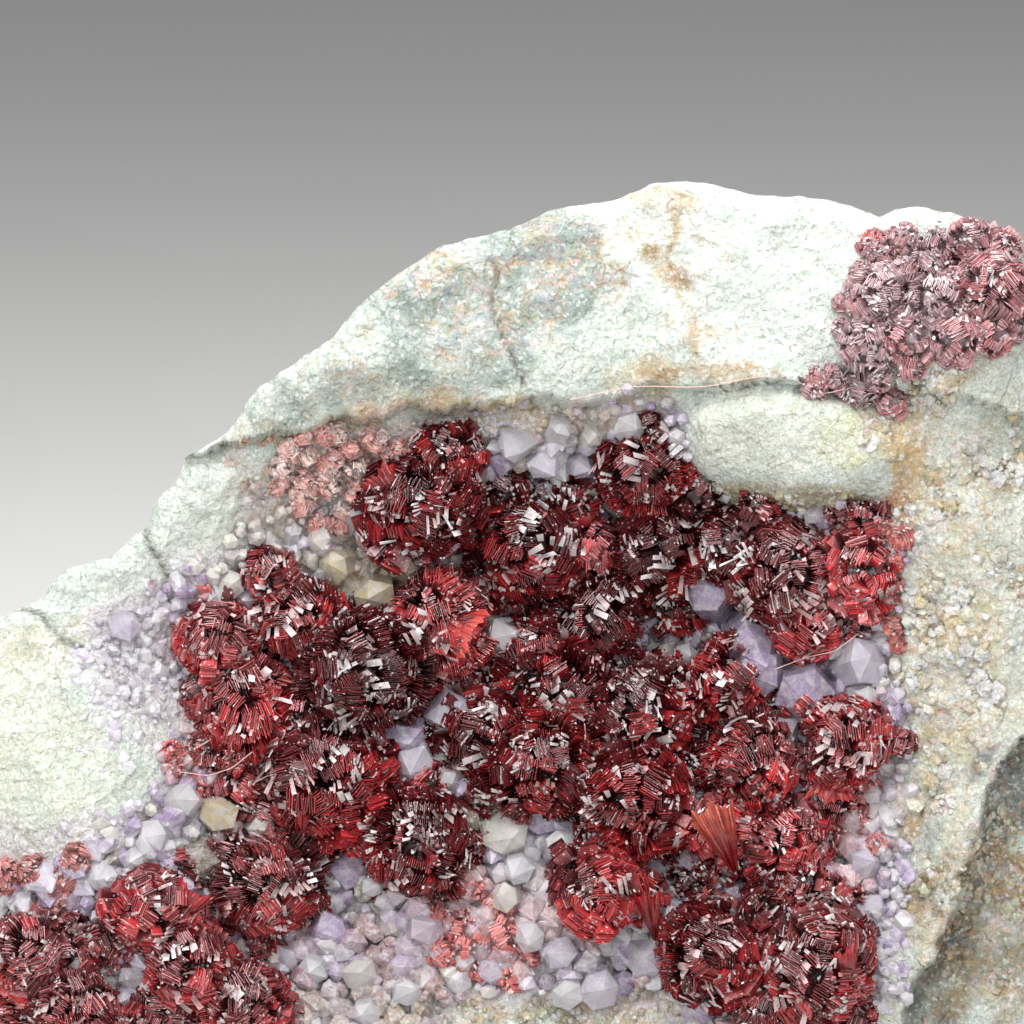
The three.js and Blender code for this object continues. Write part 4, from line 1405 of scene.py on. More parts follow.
# Petals, sheaves and rays in the lists below
P, S, R = Habit.PETALS, Habit.SHEAVES, Habit.RAYS
ROSETTES = tuple(
    Rosette(*row)
    for row in (
        (-14.85, -6.3, 2.3, 0.3, S, 0.55, 0.2), (-13.5, -9.65, 2.6, 0.35, R, 0.45, 0.3),
        (-10.6, -5.5, 2.2, 0.3, S, 0.45, 0.5), (-12.2, -3.15, 1.5, 0.2, S, 0.4, 0.3),
        (-7.5, -8, 3.1, 0.45, R, 0.1, 0.5), (-3.75, -5.65, 2.7, 0.5, R, 0.75, 0.5),
        (-9.1, -13.3, 3.1, 0.3, S, 0.3, 0.3), (-4.6, -16.6, 2.8, 0.3, S, 0.3, 0.5),
        (-12.2, -18.8, 2.6, 0.45, S, 0.3, 0.5), (-18.1, -19.7, 2.2, 0.3, P, 0.6, 0.2),
        (-16.2, -22.7, 2.3, 0.35, S, 0.5, 0.2), (-24, -22.3, 2.3, 0.3, S, 0.6, 0.3),
        (-13.3, -24.7, 2.3, 0.3, S, 0.3, 0.4), (-21.8, -25.4, 2.5, 0.3, S, 0.2, 0.3),
        (-18.6, -26.4, 2.1, 0.3, S, 0.2, 0.3), (-4.6, 0.35, 3, 0.3, S, 0.25, 0.5),
        (-3.35, 2.9, 1.8, 0.3, S, 0.4, 0.3), (0.9, -1.65, 2.6, 0.35, S, 0.3, 0.4),
        (3.65, -1.9, 1.7, 0.5, P, 1.0, 0.1), (6.8, 2.2, 2.3, 0.2, R, 0.35, 0.3),
        (7.3, -2, 2.6, 0.3, S, 0.2, 0.4), (10.9, -1.65, 2.2, 0.3, S, 0.1, 0.5),
        (14.15, -3.15, 3.2, 0.3, P, 0.25, 0.6), (15, -5.8, 2, 0.6, P, 0.5, 0.5),
        (17.5, -3, 2.1, 0.2, P, 0.85, 0.1), (4.4, -5.65, 2.3, 0.3, R, 0.2, 0.3),
        (1.15, -7.15, 2.5, 0.35, S, 0.35, 0.3), (2.65, -9.4, 2.6, 0.45, R, 0.3, 0.4),
        (6.4, -10.15, 2.9, 0.45, R, 0.2, 0.7), (-1.6, -11.2, 2.2, 0.3, S, 0.25, 0.4),
        (1.4, -12.9, 2.9, 0.4, R, 0.25, 0.4), (6.2, -14.4, 2.9, 0.4, S, 0.3, 0.3),
        (11, -8.6, 2.2, 0.5, R, 0.45, 0.2), (12.15, -12.65, 2.3, 0.4, S, 0.45, 0.5),
        (16.8, -11.4, 2.3, 0.5, P, 0.4, 0.8), (10.6, -16, 2, 0.4, P, 0.9, 0.1),
        (13.65, -16.4, 2.1, 0.3, S, 0.6, 0.4), (4.2, -19, 2.4, 0.4, P, 0.6, 0.1),
        (10, -22.3, 2.5, 0.35, S, 0.3, 0.4), (15.5, -22.7, 2.8, 0.35, P, 0.4, 0.6),
        # Smaller ones that fill the gaps between the others
        (-15.1, -12, 1.3, 0.1, S, 0.6), (-13.85, -13.9, 1.5, 0.2, S, 0.5), (-1.7, -3.4, 1.8, 0.2, S, 0.3),
        (8, -5, 1.4, 0.2, S, 0.2), (16.15, -14.4, 1.6, 0.2, S, 0.6), (14.3, -18.7, 1.6, 0.2, S, 0.7),
        (12.8, -25.2, 1.8, 0.2, S, 0.5), (6.6, -19.2, 1.3, 0.4, P, 0.6), (-20.6, -29, 1.8, 0.2, S, 0.3),
        (19.7, -11.6, 0.7, 0.4, S, 0.3), (3.2, 0.8, 1.5, 0.2, S, 0.3), (-25.6, -25.4, 1.6, 0.2, S, 0.3),
        (4.2, -16.4, 1.5, 0.2, S, 0.3), (-7.6, -16.2, 1.4, 0.2, S, 0.4), (9.2, -13, 1.5, 0.2, S, 0.3),
        (-10.8, -10.6, 1.3, 0.2, S, 0.5), (3.8, -11.2, 1.6, 0.2, S, 0.2), (-0.9, -9, 1.5, 0.2, S, 0.3),
    )
)
# The last of these colours is the near-white of painted glints
MAROON, CRIMSON, SCARLET, ROSE, GLINT_WHITE = (
    np.array(linear(code)) for code in ("521619", "8c2026", "d8383c", "f09c9e", "f8f2f1")
)


@dataclass
class RosetteMaker:
    """Builds one rosette: a core in painted shade, books of thin blades over it, and others cleaved into
    steps.
    """

    books: int = 62
    pages: int = 14
    page_gap: float = 0.05
    small_books: int = 13
    small_pages: int = 9
    small_radius: float = 1.0
    usual_radius: float = 2.5
    core_share: float = 0.74
    core_rings: int = 9
    core_sides: int = 18
    sparkles: int = 44
    cluster: int = 5

    def directions(self, count: int, rng: np.random.Generator) -> Array:
        """Return directions spread by the golden angle over the front of a ball, and a little behind it."""
        index = np.arange(count) + 0.5
        height = 1 - 1.3 * index / count
        golden_angle = np.pi * (3 - math.sqrt(5))
        around = index * golden_angle + rng.uniform(0, 6)
        flat = np.sqrt(np.clip(1 - height**2, 0, 1))
        spread = np.stack([flat * np.cos(around), -height, flat * np.sin(around)], axis=-1)
        return unit(spread + rng.normal(0, 0.07, spread.shape))

    def tones(self, rosette: Rosette, out: Array, rng: np.random.Generator) -> Array:
        """Return each blade's colour.

        It has painted shade above and a painted glow of brighter red below, where light leaves the rosette;
        it comes in patches, and turns rosy towards the sides of the hollow.
        """
        x, z = rosette.x + rosette.radius * out[:, 0], rosette.z + rosette.radius * out[:, 2]
        patch = cloudy(x, 0, z, 1.7, 201) + 0.6 * cloudy(x, 0, z, 0.6, 203) - 0.8
        # Painted light: darker on the upper side, glowing brighter red on the lower side, plus patches of
        # tone
        glow = 0.34 - 0.3 * out[:, 2] + 1.5 * patch + rng.normal(0, 0.16, len(out))
        glow = np.clip(np.clip(glow, 0, 1) * (0.35 + rosette.bright) + 0.3 * rosette.bright, 0, 1)[:, None]
        deep = MAROON * (1 - glow) + CRIMSON * glow
        bright = np.clip(glow * 1.7 - 0.5, 0, 1)
        colour = deep * (1 - bright) + SCARLET * bright
        beside = smoothstep((np.abs(x - 1)[:, None] - 9) / 6)
        rose = np.clip(rosette.bright * 1.6 - 0.7, 0, 0.9) + 0.5 * beside
        rose = np.clip(rose, 0, 0.9) * rng.uniform(0, 1, (len(out), 1)) ** 2
        colour = colour * (1 - rose) + ROSE * rose
        colour = colour * rng.uniform(0.6, 1.3, (len(out), 1))
        veiled = np.clip(rosette.veiled * rng.uniform(0.5, 1.3, (len(out), 1)), 0, 1)
        return np.clip(colour * (1 - veiled) + np.array(linear(rosette.veil)) * veiled, 0, 1)

    @staticmethod
    def lumps(way: Array, seed: int) -> Array:
        """Return how far the blades reach in each direction, as a share of the radius."""
        swell = soft_noise(*(way * 1.3 + seed * 3).T, 1.0, 173)
        knots = soft_noise(*(way * 3.4 + seed * 5).T, 1.0, 177)
        return 0.68 + 0.5 * swell + 0.26 * knots

    def core(self, rosette: Rosette, centre: Array, rng: np.random.Generator) -> Part:
        """Return the ball under the blades, in painted shade: latitude and longitude rings, roughened by
        chance.
        """
        polar = np.linspace(0.08, np.pi - 0.08, self.core_rings)[:, None]
        turn = np.linspace(0, 2 * np.pi, self.core_sides, endpoint=False)
        sides = (np.sin(polar) * np.cos(turn), -np.cos(polar), np.sin(polar) * np.sin(turn))
        ball = np.stack(np.broadcast_arrays(*sides), axis=-1).reshape(-1, 3)
        radius = rosette.radius * self.core_share * rng.uniform(0.93, 1.04, (len(ball), 1))
        walls, caps = Surfaces.tube(self.core_rings, self.core_sides)
        outwards = [np.roll(walls[:, ::-1], 1, axis=1), caps[:, ::-1]]
        veil = np.array(linear(rosette.veil))
        # Half the maroon: painted shade in the gaps between the blades; veiled rosettes take the veil's
        # tone
        dark = 0.5 * MAROON * (1 - rosette.veiled) + 0.7 * veil * rosette.veiled
        return centre + ball * radius, outwards, np.tile(dark, (len(ball), 1))

    def make(self, rosette: Rosette, seed: int) -> list[Part]:
        """Return the meshes of one rosette.

        A book is a row of pages side by side along their own normal, fanned a little, and its tips lie on
        the ball. The normal turns from the ball's meridian to its parallel as the habit says, and wanders
        slowly over the ball, so that neighbouring books run on in curved lines.

        Args:
            rosette: its place, size and habit.
            seed: of its random draws.

        Returns:
            The core, the books, and the steps and the glints, both whitened with painted glints.
        """
        rng = np.random.default_rng(SEED * 100 + seed)
        centre = on_face(np.array([rosette.x]), np.array([rosette.z]), rosette.lift * rosette.radius)[0]
        scale = rosette.radius / self.usual_radius
        count = max(self.small_books, int(self.books * scale**2))
        pages = self.pages if rosette.radius > self.small_radius else self.small_pages
        way = self.directions(count, rng)
        middle = unit(np.array([rng.normal(0, 0.35), -1, rng.normal(0, 0.35)]))
        round_it = unit(np.cross(np.tile(middle, (count, 1)), way) + 1e-6)
        from_it = unit(np.cross(way, round_it))
        drift = 150 * (soft_noise(*(way * 1.5 + seed).T, 1.0, 171) - 0.5)
        lumps = self.lumps(way, seed)
        turn = np.radians(rosette.habit.value + drift + rng.normal(0, 9, count))[:, None]
        stack = round_it * np.sin(turn) + from_it * np.cos(turn)
        across = np.cross(stack, way)

        slot = np.arange(pages) - (pages - 1) / 2
        spread = slot[None, :, None] * self.page_gap * rng.uniform(0.8, 1.25, (count, 1, 1))
        fan = slot[None, :, None] * rng.uniform(0.0, 0.025, (count, 1, 1))
        out = unit(way[:, None] + stack[:, None] * fan)
        reach = rosette.radius * lumps[:, None] * rng.uniform(0.95, 1.06, (count, 1))
        reach = reach * rng.uniform(0.97, 1.02, (count, pages))
        length = rng.uniform(0.28, 0.4, (count, pages)) * rosette.radius
        root = centre + out * (reach - length)[..., None] + stack[:, None] * spread
        width = rng.uniform(0.6, 1.5, (count, 1)) * rng.uniform(0.55, 1.05, (count, pages))
        width = width * min(1.0, 0.45 + 0.55 * scale)
        out, across = out.reshape(-1, 3), np.repeat(across, pages, axis=0)
        across = square_to(out, across + rng.normal(0, 0.05, across.shape))
        colour = self.tones(rosette, out, rng)
        # A few blades turned towards near-white: painted glints
        glint_blades = (rng.uniform(0, 1, len(out)) < 0.006 + 0.02 * rosette.grey)[:, None]
        colour = np.where(glint_blades, 0.35 * colour + 0.65 * GLINT_WHITE, colour)
        thick = rng.uniform(0.03, 0.055, len(out))
        rows = Blades(root.reshape(-1, 3), out, across, length.ravel(), width.ravel(), thick, colour)
        parts = [self.core(rosette, centre, rng), rows.mesh(rng)]
        for kind in (self.steps, self.glints):
            parts.append(kind(rosette, centre, seed, rng).mesh(rng))
        return parts

    def glints(self, rosette: Rosette, centre: Array, seed: int, rng: np.random.Generator) -> Blades:
        """Return tiny splinters that lie on the ball every way, whitened with painted glints."""
        count = int(self.sparkles * (rosette.radius / self.usual_radius) ** 2)
        way = unit(self.directions(count, rng) + rng.normal(0, 0.12, (count, 3)))
        out = unit(square_to(way, rng.normal(0, 1, (count, 3))) + way * rng.uniform(-0.1, 0.7, (count, 1)))
        height = rosette.radius * self.lumps(way, seed) * rng.uniform(0.94, 1.04, count)
        root = centre + way * height[:, None]
        # Whitened towards near-white: painted glints
        glint_share = rng.uniform(0.2, 1.0, (count, 1))
        colour = self.tones(rosette, out, rng) * (1 - glint_share) + GLINT_WHITE * glint_share
        size = rng.uniform(0.06, 0.3, count)
        across = square_to(out, rng.normal(0, 1, (count, 3)))
        return Blades(root, out, across, size, 0.1 + 0.25 * size, 0.3 * size, colour)

    def steps(self, rosette: Rosette, centre: Array, seed: int, rng: np.random.Generator) -> Blades:
        """Return the cleaved books: small clusters of laths that lie on the ball, much one way, with
        painted glints.
        """
        scale = rosette.radius / self.usual_radius
        count = 3 + int(22 * scale**2 * (0.25 + rosette.grey))
        each = self.cluster
        way = unit(self.directions(count * 2, rng)[:count] + rng.normal(0, 0.12, (count, 3)))
        run = square_to(way, rng.normal(0, 1, (count, 3)))
        across = np.cross(way, run)
        tilt = np.radians(rng.uniform(-6, 24, count))[:, None]
        out = run * np.cos(tilt) + way * np.sin(tilt)
        slot = (np.arange(each) - (each - 1) / 2)[None, :, None]
        large = np.where(rng.uniform(0, 1, (count, 1)) < 0.3, 1.8, 1.0) * min(1.0, scale)
        gap = rng.uniform(0.12, 0.28, (count, 1, 1)) * np.maximum(large, 0.8)[..., None]
        height = rosette.radius * self.lumps(way, seed) * rng.uniform(0.96, 1.05, count)
        base = centre + way * height[:, None]
        root = base[:, None] + across[:, None] * slot * gap
        root = root + out[:, None] * rng.normal(-0.3, 0.22, (count, each, 1))
        root = root - way[:, None] * (slot * gap) ** 2 / rosette.radius
        long = rng.uniform(0.3, 0.9, (count, 1)) * min(1.0, 0.35 + 0.65 * scale)
        long = long * np.maximum(large, 1) ** 0.6
        length = (long * rng.uniform(0.35, 1.15, (count, each))).ravel()
        out, across = np.repeat(out, each, axis=0), np.repeat(across, each, axis=0)
        out = unit(out + rng.normal(0, 0.2, out.shape))
        across = square_to(out, across + rng.normal(0, 0.15, across.shape))
        # Whitened towards near-white, most on the large clusters: painted glints
        glint_share = np.where(large > 1, rng.uniform(0.55, 1.0, (count, 1)), rng.uniform(0.1, 0.9, (count, 1)))
        glint_share = glint_share.repeat(each, axis=0) * rng.uniform(0.6, 1.05, (count * each, 1))
        colour = self.tones(rosette, out, rng) * (1 - glint_share) + GLINT_WHITE * glint_share
        width = rng.uniform(0.5, 1.3, count * each) * gap.repeat(each, axis=1).ravel()
        thick = rng.uniform(0.03, 0.06, count * each)
        return Blades(root.reshape(-1, 3), out, across, length, width, thick, np.clip(colour, 0, 1))


@dataclass(frozen=True)
class Petal:
    """A large smooth blade that curls like a petal.

    Where its foot stands and how high over the face, its radius, the clock angle that it opens towards, its
    lean away from the face, how far it fans, and its colours at the foot and at the rim, the rim's paler
    red being a painted glow.
    """

    x: float
    z: float
    lift: float
    radius: float
    turn: float
    lean: float
    fan: float
    foot: str = "7c1016"
    rim: str = "d83a3c"

    RINGS = 12
    RIBS = 46
    THICK = 0.1

    def mesh(self, seed: int) -> Part:
        """Return points, faces and colours: rings and ribs that bulge and fall away at the sides."""
        rings, ribs = self.RINGS, self.RIBS
        rng = np.random.default_rng(SEED * 7 + seed)
        clock, lean = math.radians(self.turn), math.radians(self.lean)
        level = math.cos(lean)
        along = np.array([math.cos(clock) * level, -math.sin(lean), math.sin(clock) * level])
        across = np.array([-math.sin(clock), 0, math.cos(clock)])
        if np.cross(across, along)[1] >= 0:
            across = -across
        up = np.cross(across, along)
        share = np.linspace(0.1, 1, rings)[:, None]
        spread = np.linspace(-0.5, 0.5, ribs)[None]
        bend = math.radians(self.fan) * spread
        jagged = cloudy(spread * 9 + seed, 0, 0, 1.0, 191)
        reach = self.radius * share * (0.78 + 0.44 * jagged)
        ridge = rng.normal(0, 0.018, (1, ribs)) * share
        ridge = ridge + 0.25 * soft_noise(spread * 7, seed, share * 3, 1, 193)
        rise = self.radius * (0.24 * np.sin(np.pi * 0.75 * share) - 1.2 * share * spread**2) + ridge
        flat = (reach * np.cos(bend))[..., None] * along + (reach * np.sin(bend))[..., None] * across
        front = on_face(np.array([self.x]), np.array([self.z]), self.lift) + flat + rise[..., None] * up
        points = np.concatenate([front.reshape(-1, 3), (front - self.THICK * up).reshape(-1, 3)])
        plate, border = Surfaces.sheet(rings, ribs)
        ahead, under = np.roll(border, -1), rings * ribs
        sides = np.stack([border + under, ahead + under, ahead, border], axis=-1)
        # Painted glow: the colour brightens towards the rim, as if light came through the thin edge
        blend = (share**4 * rng.uniform(0.4, 1.2, (1, ribs))).clip(0, 1)[..., None]
        colour = np.array(linear(self.foot)) * (1 - blend) + np.array(linear(self.rim)) * blend
        colour = np.clip(colour * rng.uniform(0.75, 1.1, (1, ribs, 1)), 0, 1).reshape(-1, 3)
        # The underside takes 0.7 of the colour: painted shade
        return points, [plate, plate[:, ::-1] + under, sides], np.concatenate([colour, colour * 0.7])


PETALS = tuple(
    Petal(*row)
    for row in (
        (11.3, -18.3, 2.4, 4.4, 112, 20, 36, "7c0c12", "d86850"),
        (7.2, -21.6, 1.8, 3.1, 100, 24, 30, "64090e", "b01f25"),
        (-17.6, -20.7, 1.4, 2.8, 120, 20, 62, "6c0b10", "b8262c"),
        (-16.9, -20.7, 1.6, 2.6, 62, 20, 55, "6c0b10", "c02a30"),
        (-4, -5.2, 2.6, 2.7, -28, 14, 70, "a81a1e", "e86058"),
        (-4.4, -5.4, 2.3, 2.3, -84, 18, 56, "8c1418", "d84844"),
        (3.4, -3, 2, 2.1, 80, 24, 56, "cc3038", "f49098"),
        (16.9, -4.6, 1.4, 3, 84, 20, 40, "6c0b10", "d84c4c"),
        (16.7, -24.2, 1.9, 2.8, 100, 22, 46, "5c080d", "c03a3e"),
        (-5.4, 0.2, 1.9, 2.6, 128, 20, 60, "5c080d", "b82c30"),
        (16.2, -12.6, 1.7, 2.2, -96, 20, 70, "6c0b10", "c83834"),
    )
)


@dataclass(frozen=True)
class Carpet:
    """An area that small rosettes fill wherever larger ones leave a gap."""

    outline: tuple[tuple[float, float], ...]
    pitch: float
    small: float
    large: float
    bright: float
    grey: float
    veil: str = "000000"
    veiled: float = 0.0
    room: float = 0.72
    lift: float = 0.1

    def rosettes(self, known: Sequence[Rosette], rng: np.random.Generator) -> list[Rosette]:
        """Return the rosettes of this area, kept clear of the known ones."""
        far_away = (99.0, 99.0, 1.0)
        placed = np.array([(one.x, one.z, one.radius) for one in known] or [far_away])
        low, high = np.min(self.outline, axis=0), np.max(self.outline, axis=0)
        spots = scatter(low, high, self.pitch, rng)
        made = []
        for x, z in spots[covers(self.outline, spots[:, 0], spots[:, 1])]:
            if (np.hypot(placed[:, 0] - x, placed[:, 1] - z) / placed[:, 2]).min() > self.room:
                size, shade = float(rng.uniform(self.small, self.large)), rng.uniform(0.3, 1.3, 2)
                habit = list(Habit)[rng.integers(3)]
                bright, grey = self.bright * float(shade[0]), self.grey * float(shade[1])
                look = (self.lift, habit, bright, grey, self.veil, self.veiled)
                made.append(Rosette(float(x), float(z), size, *look))
        return made


RED_CARPET = Carpet(
    (
        (-17.1, -5.4), (-13.1, -2.9), (-9.6, -4.8), (-4.6, -4.8), (-4.4, -1.4), (-8.4, -0.6),
        (-7.6, 1.6), (-4.1, 4.1), (-0.6, 1.6), (4.4, 1.6), (6.4, 5.1), (8.9, 4.6), (9.4, 1.1), (12.4, 0.3),
        (18.6, 0.5), (18.6, -4.4), (15.9, -6.9), (13.4, -5.4), (9.4, -4.4), (8.9, -8.9), (14.4, -9.4),
        (19.2, -10.4), (19.4, -12.4), (15.4, -14.4), (15.9, -17.4), (17.4, -20.9), (16.9, -25.6),
        (9.4, -24.4), (6.9, -20.9), (6.4, -17.9), (4.4, -16.9), (0.4, -14.4), (-3.1, -18.4), (-6.6, -18.9),
        (-11.6, -21.4), (-15.6, -24.4), (-13, -27), (-20, -30), (-26, -26), (-25.6, -20.4), (-20.6, -19.4),
        (-17.6, -17.9), (-13.6, -16.9), (-15.6, -12.9), (-17.1, -9.4),
    ),
    1.9, 0.9, 1.5, 0.35, 0.3,
)
ROSY_CARPETS = (
    Carpet(
        (
            (-12.1, 3.4), (-9.1, 4), (-4.6, 4.2), (-3.6, 2.1), (-5.6, -0.4), (-8.6, -1.4), (-11.1, -0.4),
            (-12.5, 2.1),
        ),
        1.3, 0.3, 0.6, 0.8, 0.5, "fde6dc", 0.84,
    ),
    Carpet(
        (
            (-12.4, 2.6), (-10.4, 4), (-5.2, 4.3), (-4.2, 2.6), (-7.6, 1.6), (-8.6, -1.2), (-10.6, -1),
            (-11.6, 0.4),
        ),
        0.95, 0.25, 0.6, 1.1, 0.35, "fac8be", 0.8,
    ),
    Carpet(
        ((-17.5, -11.3), (-13.6, -11.8), (-13.2, -14), (-16.6, -14.3)), 1.1, 0.5, 0.8, 1, 0.3, "e8908c", 0.4
    ),
    Carpet(
        ((-26, -17.4), (-20.6, -17.2), (-20.2, -19.8), (-26, -20.2)), 1.2, 0.5, 0.9, 1, 0.3, "e8a49c", 0.5
    ),
    Carpet(
        ((8.9, -17.2), (14.6, -17.6), (14.6, -20.6), (9.4, -20.6)), 1.2, 0.5, 0.9, 1, 0.3, "eca090", 0.5
    ),
    Carpet(((18.4, -0.6), (19.7, -1), (19.5, -6.8), (18.4, -6.4)), 1, 0.4, 0.7, 0.8, 0.3, "d8958a", 0.55),
    Carpet(((15.6, -13.4), (18.6, -13), (18.4, -17.4), (16, -17.8)), 1.2, 0.4, 0.8, 1, 0.3, "e8a8a4", 0.5),
)
PINK_CARPET = Carpet(
    ((-4.2, -18), (-1.4, -17.8), (-0.2, -20.4), (1.7, -23.4), (0.5, -24.6), (-3, -22.8), (-4.6, -20.6)),
    1.15, 0.55, 1.1, 1, 0.35, "eea49c", 0.55,
)
DUSKY = "d8bec2"
DARK_ROSETTES = tuple(
    Rosette(x, z, r, lift, habit, bright, grey, DUSKY, veiled)
    for x, z, r, lift, habit, bright, grey, veiled in (
        (23, 13.5, 1.2, 0.1, P, 0.5, 0.5, 0.45), (24, 11.2, 1.8, 0.15, P, 0.6, 0.5, 0.4),
        # The sunk rosette at (22, 12.1), with no veil and no bright red, stands for the hole in the crust:
        # painted shade
        (22, 12.1, 0.7, -0.7, R, 0, 0, 0), (21.2, 13.3, 1, 0.1, S, 0.5, 0.7, 0.5),
        (21.1, 10.4, 1.5, 0.1, S, 0.3, 0.9, 0.7), (20.7, 11.9, 0.9, 0.1, S, 0.4, 0.8, 0.6),
        (18.3, 10.7, 1.7, 0.1, S, 0.3, 0.9, 0.75),
        (17.7, 8.2, 1.5, 0.1, S, 0.1, 1, 0.7), (17.4, 6.3, 1.1, 0.1, S, 0.1, 0.8, 0.6),
        (19.7, 8.4, 1.3, 0.1, P, 0.9, 0.6, 0.55), (22.1, 8.7, 1.3, 0.1, S, 0.7, 0.6, 0.6),
        (23.9, 8.9, 1.2, 0.1, S, 0.7, 0.5, 0.5), (18.1, 13.4, 0.8, 0.1, P, 1, 0.2, 0.3),
        (20.5, 12.3, 1.1, 0.1, S, 0.3, 0.8, 0.6), (24.5, 13, 1.1, 0.1, P, 0.7, 0.4, 0.4),
        (18.9, 5.5, 0.9, 0.1, P, 0.9, 0.4, 0.5), (15.2, 6.7, 0.6, 0.1, S, 0.3, 0.6, 0.5),
    )
)
DARK_CARPET = Carpet(
    (
        (16.4, 12), (18.4, 14), (20.6, 13.6), (22.4, 14.4), (24.4, 13.7), (25.2, 12),
        (25.3, 9.6), (24.6, 7.9), (21.9, 7.4), (20.15, 7.6), (19.6, 5.6), (18.4, 5), (16.9, 5.7),
        (14.4, 6.2), (14.4, 7.1), (16.2, 7.2), (16, 9.1),
    ),
    1.05, 0.45, 0.85, 0.6, 0.8, DUSKY, 0.65, 0.6,
)


def covers(outline: Sequence[Sequence[float]], x: Array, z: Array) -> Array:
    """Return whether each point lies in an outline.

    A ray to the right of such a point crosses the outline an odd number of times.
    """
    crossings = np.zeros(np.shape(x), int)
    for (ax, az), (bx, bz) in zip(outline, (*outline[1:], outline[0])):
        if az != bz:
            between = (az > z) != (bz > z)
            crossings += between & (x < ax + (z - az) * (bx - ax) / (bz - az))
    return crossings % 2 == 1


@dataclass
class Wendwilsonite:
    """All the rosettes, gathered into one piece for each grown-together group of the solids."""

    maker: RosetteMaker
    rosettes: list[Rosette]
    batch: int = 15
    endings: str = "abcdef"

    def nearest(self, nodes: Sequence[str]) -> list[int]:
        """Return, for each rosette, the number of the solid whose corners come nearest to its middle."""
        x, z, lift, radius = np.array([(one.x, one.z, one.lift, one.radius) for one in self.rosettes]).T
        middles = standing(on_face(x, z, lift * radius))
        reach = []
        for node in nodes:
            mesh = bpy.data.objects[node].data
            corners = np.empty(len(mesh.vertices) * 3, np.float32)
            mesh.vertices.foreach_get("co", corners)
            away = np.linalg.norm(middles[:, None] - corners.reshape(-1, 3)[None], axis=-1)
            reach.append(away.min(axis=1))
        return list(np.argmin(reach, axis=0))

    def build(self, finish: bpy.types.Material, smooth: bpy.types.Material, nodes: Sequence[str]) -> None:
        """Make the pieces for each solid, with the rosettes that belong to it, at most batch to a piece."""
        owner = self.nearest(nodes)
        for number, node in enumerate(nodes):
            mine = [seed for seed in range(len(self.rosettes)) if owner[seed] == number]
            mine.sort(key=lambda seed: self.rosettes[seed].x)
            share = max(1, math.ceil(len(mine) / self.batch))
            for part, seeds in enumerate(np.array_split(mine, share)):
                meshes = []
                for seed in seeds:
                    meshes += self.maker.make(self.rosettes[seed], int(seed))
                ending = self.endings[part] if share > 1 else ""
                name = f"wendwilsonite_{number + 1}{ending}"
                dress(joined(name, meshes, finish), [node])
        petals = [petal.mesh(seed) for seed, petal in enumerate(PETALS)]
        dress(joined("wendwilsonite_petals", petals, smooth))


@dataclass
class Crust:
    """A crust of small rosettes, as one piece."""

    name: str
    slot: str
    rosettes: tuple[Rosette, ...]
    carpets: tuple[Carpet, ...]
    nodes: tuple[str, ...] = ()
    first_seed: int = 500

    def build(self, maker: RosetteMaker, finish: bpy.types.Material) -> None:
        """Make the crust."""
        rng = np.random.default_rng(SEED + len(self.name))
        every = list(self.rosettes)
        for carpet in self.carpets:
            every += carpet.rosettes(every, rng)
        meshes = []
        for seed, rosette in enumerate(every, self.first_seed):
            meshes += maker.make(rosette, seed)
        dress(joined(self.name, meshes, finish), self.nodes)


@dataclass(frozen=True)
class Fibre:
    """A dust fibre caught on the crystals: a bent line over the face, and how high it floats."""

    line: tuple[tuple[float, float], ...]
    lift: float
    radius: float = 0.022

    STEPS = 24
    SIDES = 5
    TONE = "e8c8c0"

    def mesh(self) -> Part:
        """Return points, faces and colours: a five-sided tube along a line eased through its corners."""
        steps, around = self.STEPS, self.SIDES
        corner = np.array(self.line)
        at = np.linspace(0, len(corner) - 1, steps)
        eased = np.stack([np.interp(at, np.arange(len(corner)), column) for column in corner.T], axis=-1)
        eased[1:-1] = (eased[:-2] + eased[1:-1] + eased[2:]) / 3
        middle = on_face(eased[:, 0], eased[:, 1], 0)
        middle[:, 1] = middle[:, 1].min() - self.lift + 0.3 * np.sin(at * 2)
        way = unit(np.gradient(middle, axis=0))
        side = square_to(way, np.tile([[0.0, 1, 0]], (steps, 1)))
        other = np.cross(way, side)
        turn = np.linspace(0, 2 * np.pi, around, endpoint=False)
        ring = np.cos(turn)[None, :, None] * side[:, None] + np.sin(turn)[None, :, None] * other[:, None]
        points = (middle[:, None] + self.radius * ring).reshape(-1, 3)
        return points, list(Surfaces.tube(steps, around)), np.tile(linear(self.TONE), (len(points), 1))


FIBRES = (
    Fibre(((-16.6, -13), (-15.2, -13.2), (-14, -12.8), (-13, -12)), 1.6),
    Fibre(((-12.8, -13.5), (-11.6, -12.9), (-11, -12), (-10.2, -11.5)), 2.2),
    Fibre(((-15.8, -11.8), (-14.9, -11.3), (-14.2, -11.6)), 1.6),
    Fibre(((13.2, -7.9), (14.8, -7.3), (16.2, -7), (17.4, -6.1)), 1.2),
    Fibre(((2.9, 5.6), (6, 6.3), (9.5, 6.2), (12.5, 6.8), (14.4, 6.5)), 0.3),
    Fibre(((14, 6.6), (15.6, 5.9), (17.8, 6.4)), 0.3),
)


# The studio


@dataclass(frozen=True)
class SoftLight:
    """A square soft light: where it hangs, how wide it is and how strong, aimed at the hollow."""

    name: str
    x: float
    y: float
    z: float
    size: float
    power: float


LIGHTS = tuple(
    SoftLight(*row)
    for row in (
        ("top light", -40, -120, 290, 140, 1.0), ("back light", 30, 80, 190, 90, 0.62),
        ("left light", -260, -230, 120, 120, 0.56), ("right light", 270, -200, 160, 120, 0.46),
        ("front light", 30, -420, 220, 110, 0.46),
    )
)


